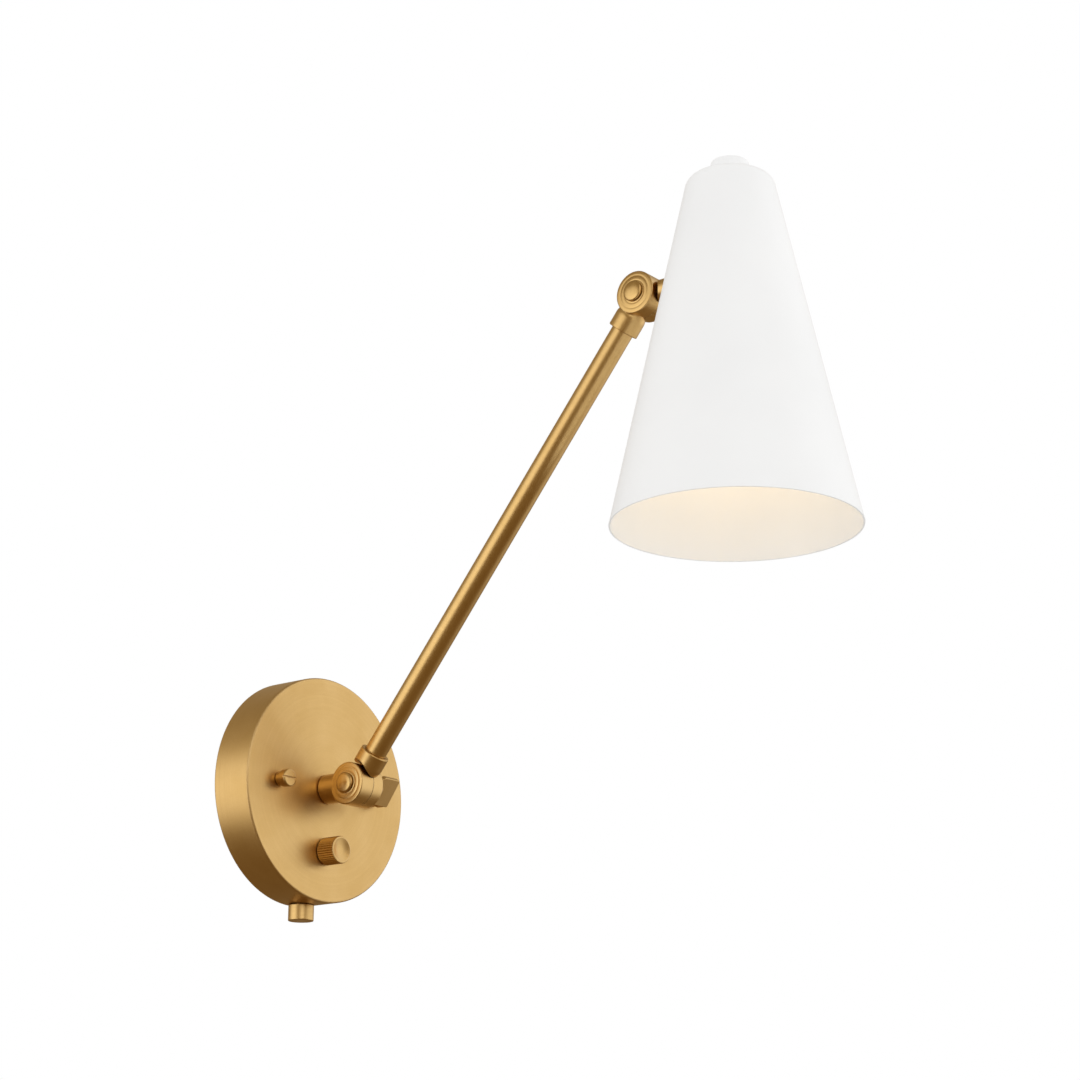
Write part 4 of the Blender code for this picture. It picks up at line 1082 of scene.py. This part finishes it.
def socket_body():
    """The ribbed sleeve, closed at its top and open to the bulb."""
    radius = 0.0170
    ribs = 24
    rib_depth = 0.0003
    rib_end = 0.0030

    def ribbed(angle, reach, height):
        if reach < radius - 0.0001 or not BODY_LOW + rib_end < height < BODY_TOP - rib_end:
            return reach
        return reach - rib_depth * (0.5 + 0.5 * math.cos(ribs * angle))

    profile = [(0, BODY_TOP), (radius - 0.0004, BODY_TOP), (radius, BODY_TOP - 0.0004),
               (radius, BODY_TOP - 0.0029), (radius, BODY_TOP - 0.0036), (radius, BODY_LOW + 0.0036),
               (radius, BODY_LOW + 0.0029), (radius, BODY_LOW + 0.0004), (radius - 0.0004, BODY_LOW),
               (0.0152, BODY_LOW), (0.0150, BODY_LOW + 0.0003), (0.0150, BODY_TOP - SOCKET_ROOF),
               (0, BODY_TOP - SOCKET_ROOF)]
    piece("socket_body", lathe(profile, ribs * 6, shape=ribbed), PHENOLIC, SHADE_FRAME)


def rolled(radius, depth, start, end, turns, steps):
    """A rolled thread's wavy outline, which leaves the radius by the depth at each turn's middle."""
    outline = []
    for step in range(steps + 1):
        wave = 0.5 - 0.5 * math.cos(2 * math.pi * turns * step / steps)
        outline.append((radius + depth * wave, start + (end - start) * step / steps))
    return outline


def socket_screw_shell():
    low = BODY_LOW + 0.0015
    outer = rolled(0.0147, -0.0002, SHELL_TOP, low, 7, 56)
    inner = rolled(0.0143, -0.0002, SHELL_TOP, low, 7, 56)
    mesh = lathe(outer + inner[::-1], SMALL)
    piece("socket_screw_shell", mesh, BARE_BRASS, SHADE_FRAME, sharp=60)


def bulb_base():
    """The bulb's screw base, its insulator and its solder tip."""
    low = -0.0040
    top = CONTACT_FACE - 0.0052
    outside = [(0.0124, low)] + rolled(0.0124, 0.0007, low + 0.0015, top - 0.0020, 4, 48)
    outside += [(0.0122, top - 0.0012), (0.0112, top - 0.0003), (0.0100, top)]
    # The glass neck runs inside the base, so the base starts just outside it.
    inside = [(0.0080, top), (0.0118, top - 0.0016), (0.01225, top - 0.0030), (0.01225, low)]
    piece("bulb_base", lathe(outside + inside, ROUND), SOLDER, SHADE_FRAME, sharp=50)

    tip_low = CONTACT_FACE - 0.0014
    insulator = [(0, top - 0.0005), (0.0077, top - 0.0005), (0.0077, top + GAP), (0.0095, top + GAP),
                 (0.0080, top + 0.0012), (0.0058, tip_low - GAP), (0, tip_low - GAP)]
    piece("bulb_insulator", lathe(insulator, SMALL), PHENOLIC, SHADE_FRAME)
    tip_top = CONTACT_FACE - GAP
    tip = [(0, tip_low), (0.0042, tip_low), (0.0042, tip_top), (0, tip_top)]
    turned_piece("bulb_tip", tip, [0, 0.0002, 0.0005, 0], SOLDER, SHADE_FRAME, 4, SMALL)


def bulb_glass():
    wall = 0.0008
    outline = bulb_outline(0) + bulb_outline(wall)[::-1]
    piece("bulb_glass", lathe(outline, ROUND), BULB_GLASS, SHADE_FRAME, sharp=60)


def bulb_outline(inset):
    """The glass from its neck to its lowest point: a straight neck, a flare and a round end."""
    radius = BULB_RADIUS - inset
    neck = BULB_NECK_RADIUS - inset
    join_angle = math.radians(28)
    start = Vector((neck, -0.0090))
    end = Vector((radius * math.cos(join_angle), BULB_CENTRE + radius * math.sin(join_angle)))
    reach = 0.0140
    start_pull = start + Vector((0, -reach))
    end_pull = end + reach * Vector((-math.sin(join_angle), math.cos(join_angle)))
    outline = [(neck, 0.0030)]
    steps = 16
    for step in range(steps):
        t = step / steps
        point = ((1 - t) ** 3 * start + 3 * t * (1 - t) ** 2 * start_pull
                 + 3 * t * t * (1 - t) * end_pull + t ** 3 * end)
        outline.append(tuple(point))
    steps = 28
    for step in range(steps):
        angle = join_angle - (join_angle + math.pi / 2) * step / steps
        outline.append((radius * math.cos(angle), BULB_CENTRE + radius * math.sin(angle)))
    outline.append((0, BULB_CENTRE - radius))
    return outline


# ---------------------------------------------------------------- CAD nodes that stay as they are
KEPT = {
    "lower_friction_washer": FIBRE,
    "upper_friction_washer": FIBRE,
    "saddle_washer": STEEL,
    "socket_contact": BARE_BRASS,
    "bulb_light_module": WHITE_PLASTIC,
}


def finish_kept_nodes():
    for node, material in KEPT.items():
        data = frame["nodes"][node].data
        data.materials.clear()
        data.materials.append(material)


# ---------------------------------------------------------------- the object
def wall_side():
    canopy()
    bracket()
    ground_screw()
    for side, x in (("left", -STUD_SPREAD), ("right", STUD_SPREAD)):
        stud = threaded(STUD_RADIUS, 0.0002, CANOPY_DEPTH + 0.0062, pitch=0.0007, depth=0.0002)
        piece(f"{side}_stud", stud, STEEL, placed((x, 0, 0), OUTWARD))
        cap_nut(f"{side}_cap_nut", x)
    dimmer_body()
    seat = CANOPY_DEPTH + GAP
    hex_nut("dimmer_nut", 0.0104, DIMMER_BUSHING + GAP, seat, seat + 0.0017, KNOB_FRAME)
    dimmer_shaft()
    dimmer_knob()
    outlet_plug()
    hex_nut("outlet_plug_nut", 0.0110, PLUG_STEM + GAP, -0.0616, -0.0588, PLUG_FRAME)
    wire_connector("line_connector", -0.0160, 0.0295)
    wire_connector("neutral_connector", 0.0160, 0.0300)
    canopy_wires()


def stem():
    place = placed(LOWER_PIVOT, TOWARDS_WALL)
    washer_top = LOWER_STANDOFF + CANOPY_WALL + GAP + WASHER_HEIGHT
    knuckle("stem_knuckle", -1, plain_neck(), NECK_LENGTH, NIPPLE_HOLE, STEM_PIPE_SEAT, place)
    pipe = threaded(NIPPLE_RADIUS, STEM_PIPE_SEAT + GAP, LOWER_STANDOFF + STEM_PIPE_REACH, NIPPLE_BORE)
    piece("stem_nipple", pipe, STEEL, place)
    washer("stem_spring_washer", 0.0090, NIPPLE_HOLE, washer_top - WASHER_HEIGHT, washer_top, place)
    hex_nut("stem_lock_nut", LOCK_NUT_FLATS, NIPPLE_HOLE, washer_top + GAP, washer_top + 0.0038, place)
    pivot_bolt("lower_pivot_bolt", LOWER_PIVOT)
    thumb_nut("lower_thumb_nut", LOWER_PIVOT)


def arm():
    tube_hole = TUBE_RADIUS + GAP
    place = placed(LOWER_PIVOT, UP_THE_ARM)
    knuckle("arm_lower_knuckle", 1, cup(), NECK_LENGTH, tube_hole, TUBE_SEAT, place)
    arm_tube_and_cable(place)
    knuckle("arm_upper_knuckle", -1, cup(), NECK_LENGTH, tube_hole, TUBE_SEAT,
            placed(UPPER_PIVOT, DOWN_THE_ARM))
    pivot_bolt("upper_pivot_bolt", UPPER_PIVOT)
    thumb_nut("upper_thumb_nut", UPPER_PIVOT)


def shade_head():
    place = placed(UPPER_PIVOT, OUTWARD)
    length = SHADE_NECK_LENGTH
    neck = [(0, 0), (SHADE_NECK_RADIUS, 0), (SHADE_NECK_RADIUS, length), (0, length)]
    knuckle("shade_knuckle", 1, neck, length, NIPPLE_HOLE, SHADE_PIPE_SEAT, place, cone_block(GAP))
    pipe = threaded(NIPPLE_RADIUS, SHADE_PIPE_SEAT + GAP, SHADE_PIPE_END, NIPPLE_BORE)
    piece("shade_nipple", pipe, STEEL, place)
    hex_nut("shade_lock_nut", LOCK_NUT_FLATS, NIPPLE_HOLE, 0.0288, 0.0316, place)
    shade()
    top_knob()
    top_pipe_and_nuts()
    socket_cap()
    socket_body()
    socket_screw_shell()
    bulb_base()
    bulb_glass()
    shade_cable()


def build():
    wall_side()
    stem()
    arm()
    shade_head()
    finish_kept_nodes()


# ---------------------------------------------------------------- studio
CAMERA_PLACE = Vector((-0.98307, -0.95291, -0.26004))
CAMERA_AZIMUTH = math.radians(-51.707)
CAMERA_ELEVATION = math.radians(-16.846)
CAMERA_ROLL = math.radians(0.346)
CAMERA_LENS = 80.72
FLOOR_HEIGHT = -0.55


def camera():
    """The camera's axes come from its azimuth, elevation and roll."""
    data = bpy.data.cameras.new("camera")
    data.lens = CAMERA_LENS
    data.sensor_width = 36.0
    data.clip_start = 0.05
    made = bpy.data.objects.new("camera", data)
    bpy.context.scene.collection.objects.link(made)
    cos_a, sin_a = math.cos(CAMERA_AZIMUTH), math.sin(CAMERA_AZIMUTH)
    cos_e, sin_e = math.cos(CAMERA_ELEVATION), math.sin(CAMERA_ELEVATION)
    back = Vector((sin_a * cos_e, -cos_a * cos_e, sin_e))
    level = Vector((cos_a, sin_a, 0))
    upright = back.cross(level)
    right = math.cos(CAMERA_ROLL) * level + math.sin(CAMERA_ROLL) * upright
    up = math.cos(CAMERA_ROLL) * upright - math.sin(CAMERA_ROLL) * level
    turn = Matrix((right, up, back)).transposed().to_4x4()
    made.matrix_world = Matrix.Translation(CAMERA_PLACE) @ turn
    bpy.context.scene.camera = made


def floor():
    """A plain pale floor, well below the lamp."""
    mesh = bmesh.new()
    bmesh.ops.create_grid(mesh, x_segments=1, y_segments=1, size=3.0)
    nodes = Nodes("pale_floor")
    speckle = nodes.noise(60.0, 2.0)
    nodes.link(nodes.ramp(speckle, [(0.3, (0.80, 0.80, 0.79)), (0.7, (0.83, 0.83, 0.82))]),
               nodes.shader.inputs["Base Color"])
    nodes.set(Roughness=0.8)
    made = new_object("floor", mesh, [nodes.material])
    made.location.z = FLOOR_HEIGHT
    made.visible_glossy = False


def world():
    """Even white light all round, which the paint sees but the metal does not."""
    made = bpy.data.worlds.new("white_world")
    made.use_nodes = True
    background = made.node_tree.nodes["Background"]
    background.inputs["Color"].default_value = (1, 1, 1, 1)
    background.inputs["Strength"].default_value = 1.0
    made.cycles_visibility.glossy = False
    bpy.context.scene.world = made


def reflection_dome():
    """The studio that the metal reflects: warm dark surroundings with soft white panels."""
    # Each panel's direction, the cosines where it is full and where it ends, and its strength.
    panels = [
        (Vector((0.72, -0.66, 0.24)), 0.90, 0.59, 1.08),
        (Vector((-0.86, 0.50, 0.02)), 0.955, 0.80, 1.38),
        (Vector((-0.98, 0.14, -0.08)), 0.985, 0.94, 1.60),
        (Vector((-0.56, -0.76, 0.33)), 0.975, 0.90, 1.60),
    ]
    nodes = Nodes("studio_reflections")
    nodes.tree.nodes.remove(nodes.shader)
    values = {0: nodes.position()}
    direction = nodes.add("ShaderNodeVectorMath", values, operation="NORMALIZE")["Vector"]
    height = nodes.math("ADD", nodes.math("MULTIPLY", nodes.split(direction)["Z"], 0.5), 0.5)
    colour = nodes.ramp(height, [(0.0, (0.19, 0.120, 0.050)), (0.45, (0.27, 0.190, 0.095)),
                                 (0.75, (0.40, 0.330, 0.220)), (1.0, (0.30, 0.24, 0.15))])
    for centre, full, none, strength in panels:
        part = nodes.within(nodes.dot(direction, centre.normalized()), none, full, "SMOOTHSTEP")
        colour = nodes.mix(part, colour, (strength, strength, strength * 0.99))
    emission = nodes.add("ShaderNodeEmission", {"Color": colour})
    output = next(node for node in nodes.tree.nodes if node.type == "OUTPUT_MATERIAL")
    nodes.link(emission[0], output.inputs["Surface"])
    mesh = bmesh.new()
    bmesh.ops.create_uvsphere(mesh, u_segments=48, v_segments=24, radius=4.0)
    bmesh.ops.reverse_faces(mesh, faces=mesh.faces)
    made = new_object("reflection_dome", mesh, [nodes.material])
    for ray in ("camera", "diffuse", "transmission", "volume_scatter", "shadow"):
        setattr(made, f"visible_{ray}", False)


def key_light():
    """A soft round light from the front right, which the paint sees but the metal does not."""
    place = Vector((1.3, -1.4, 0.7))
    target = Vector((0, -0.2, 0.1))
    data = bpy.data.lights.new("key", "AREA")
    data.shape = "DISK"
    data.size = 1.0
    data.energy = 2.0
    made = bpy.data.objects.new("key", data)
    bpy.context.scene.collection.objects.link(made)
    made.location = place
    made.rotation_euler = (target - place).to_track_quat("-Z", "Y").to_euler()
    made.visible_camera = False
    made.visible_glossy = False


def studio():
    camera()
    floor()
    world()
    reflection_dome()
    key_light()
    bpy.context.scene.view_settings.view_transform = "Standard"


build()
studio()
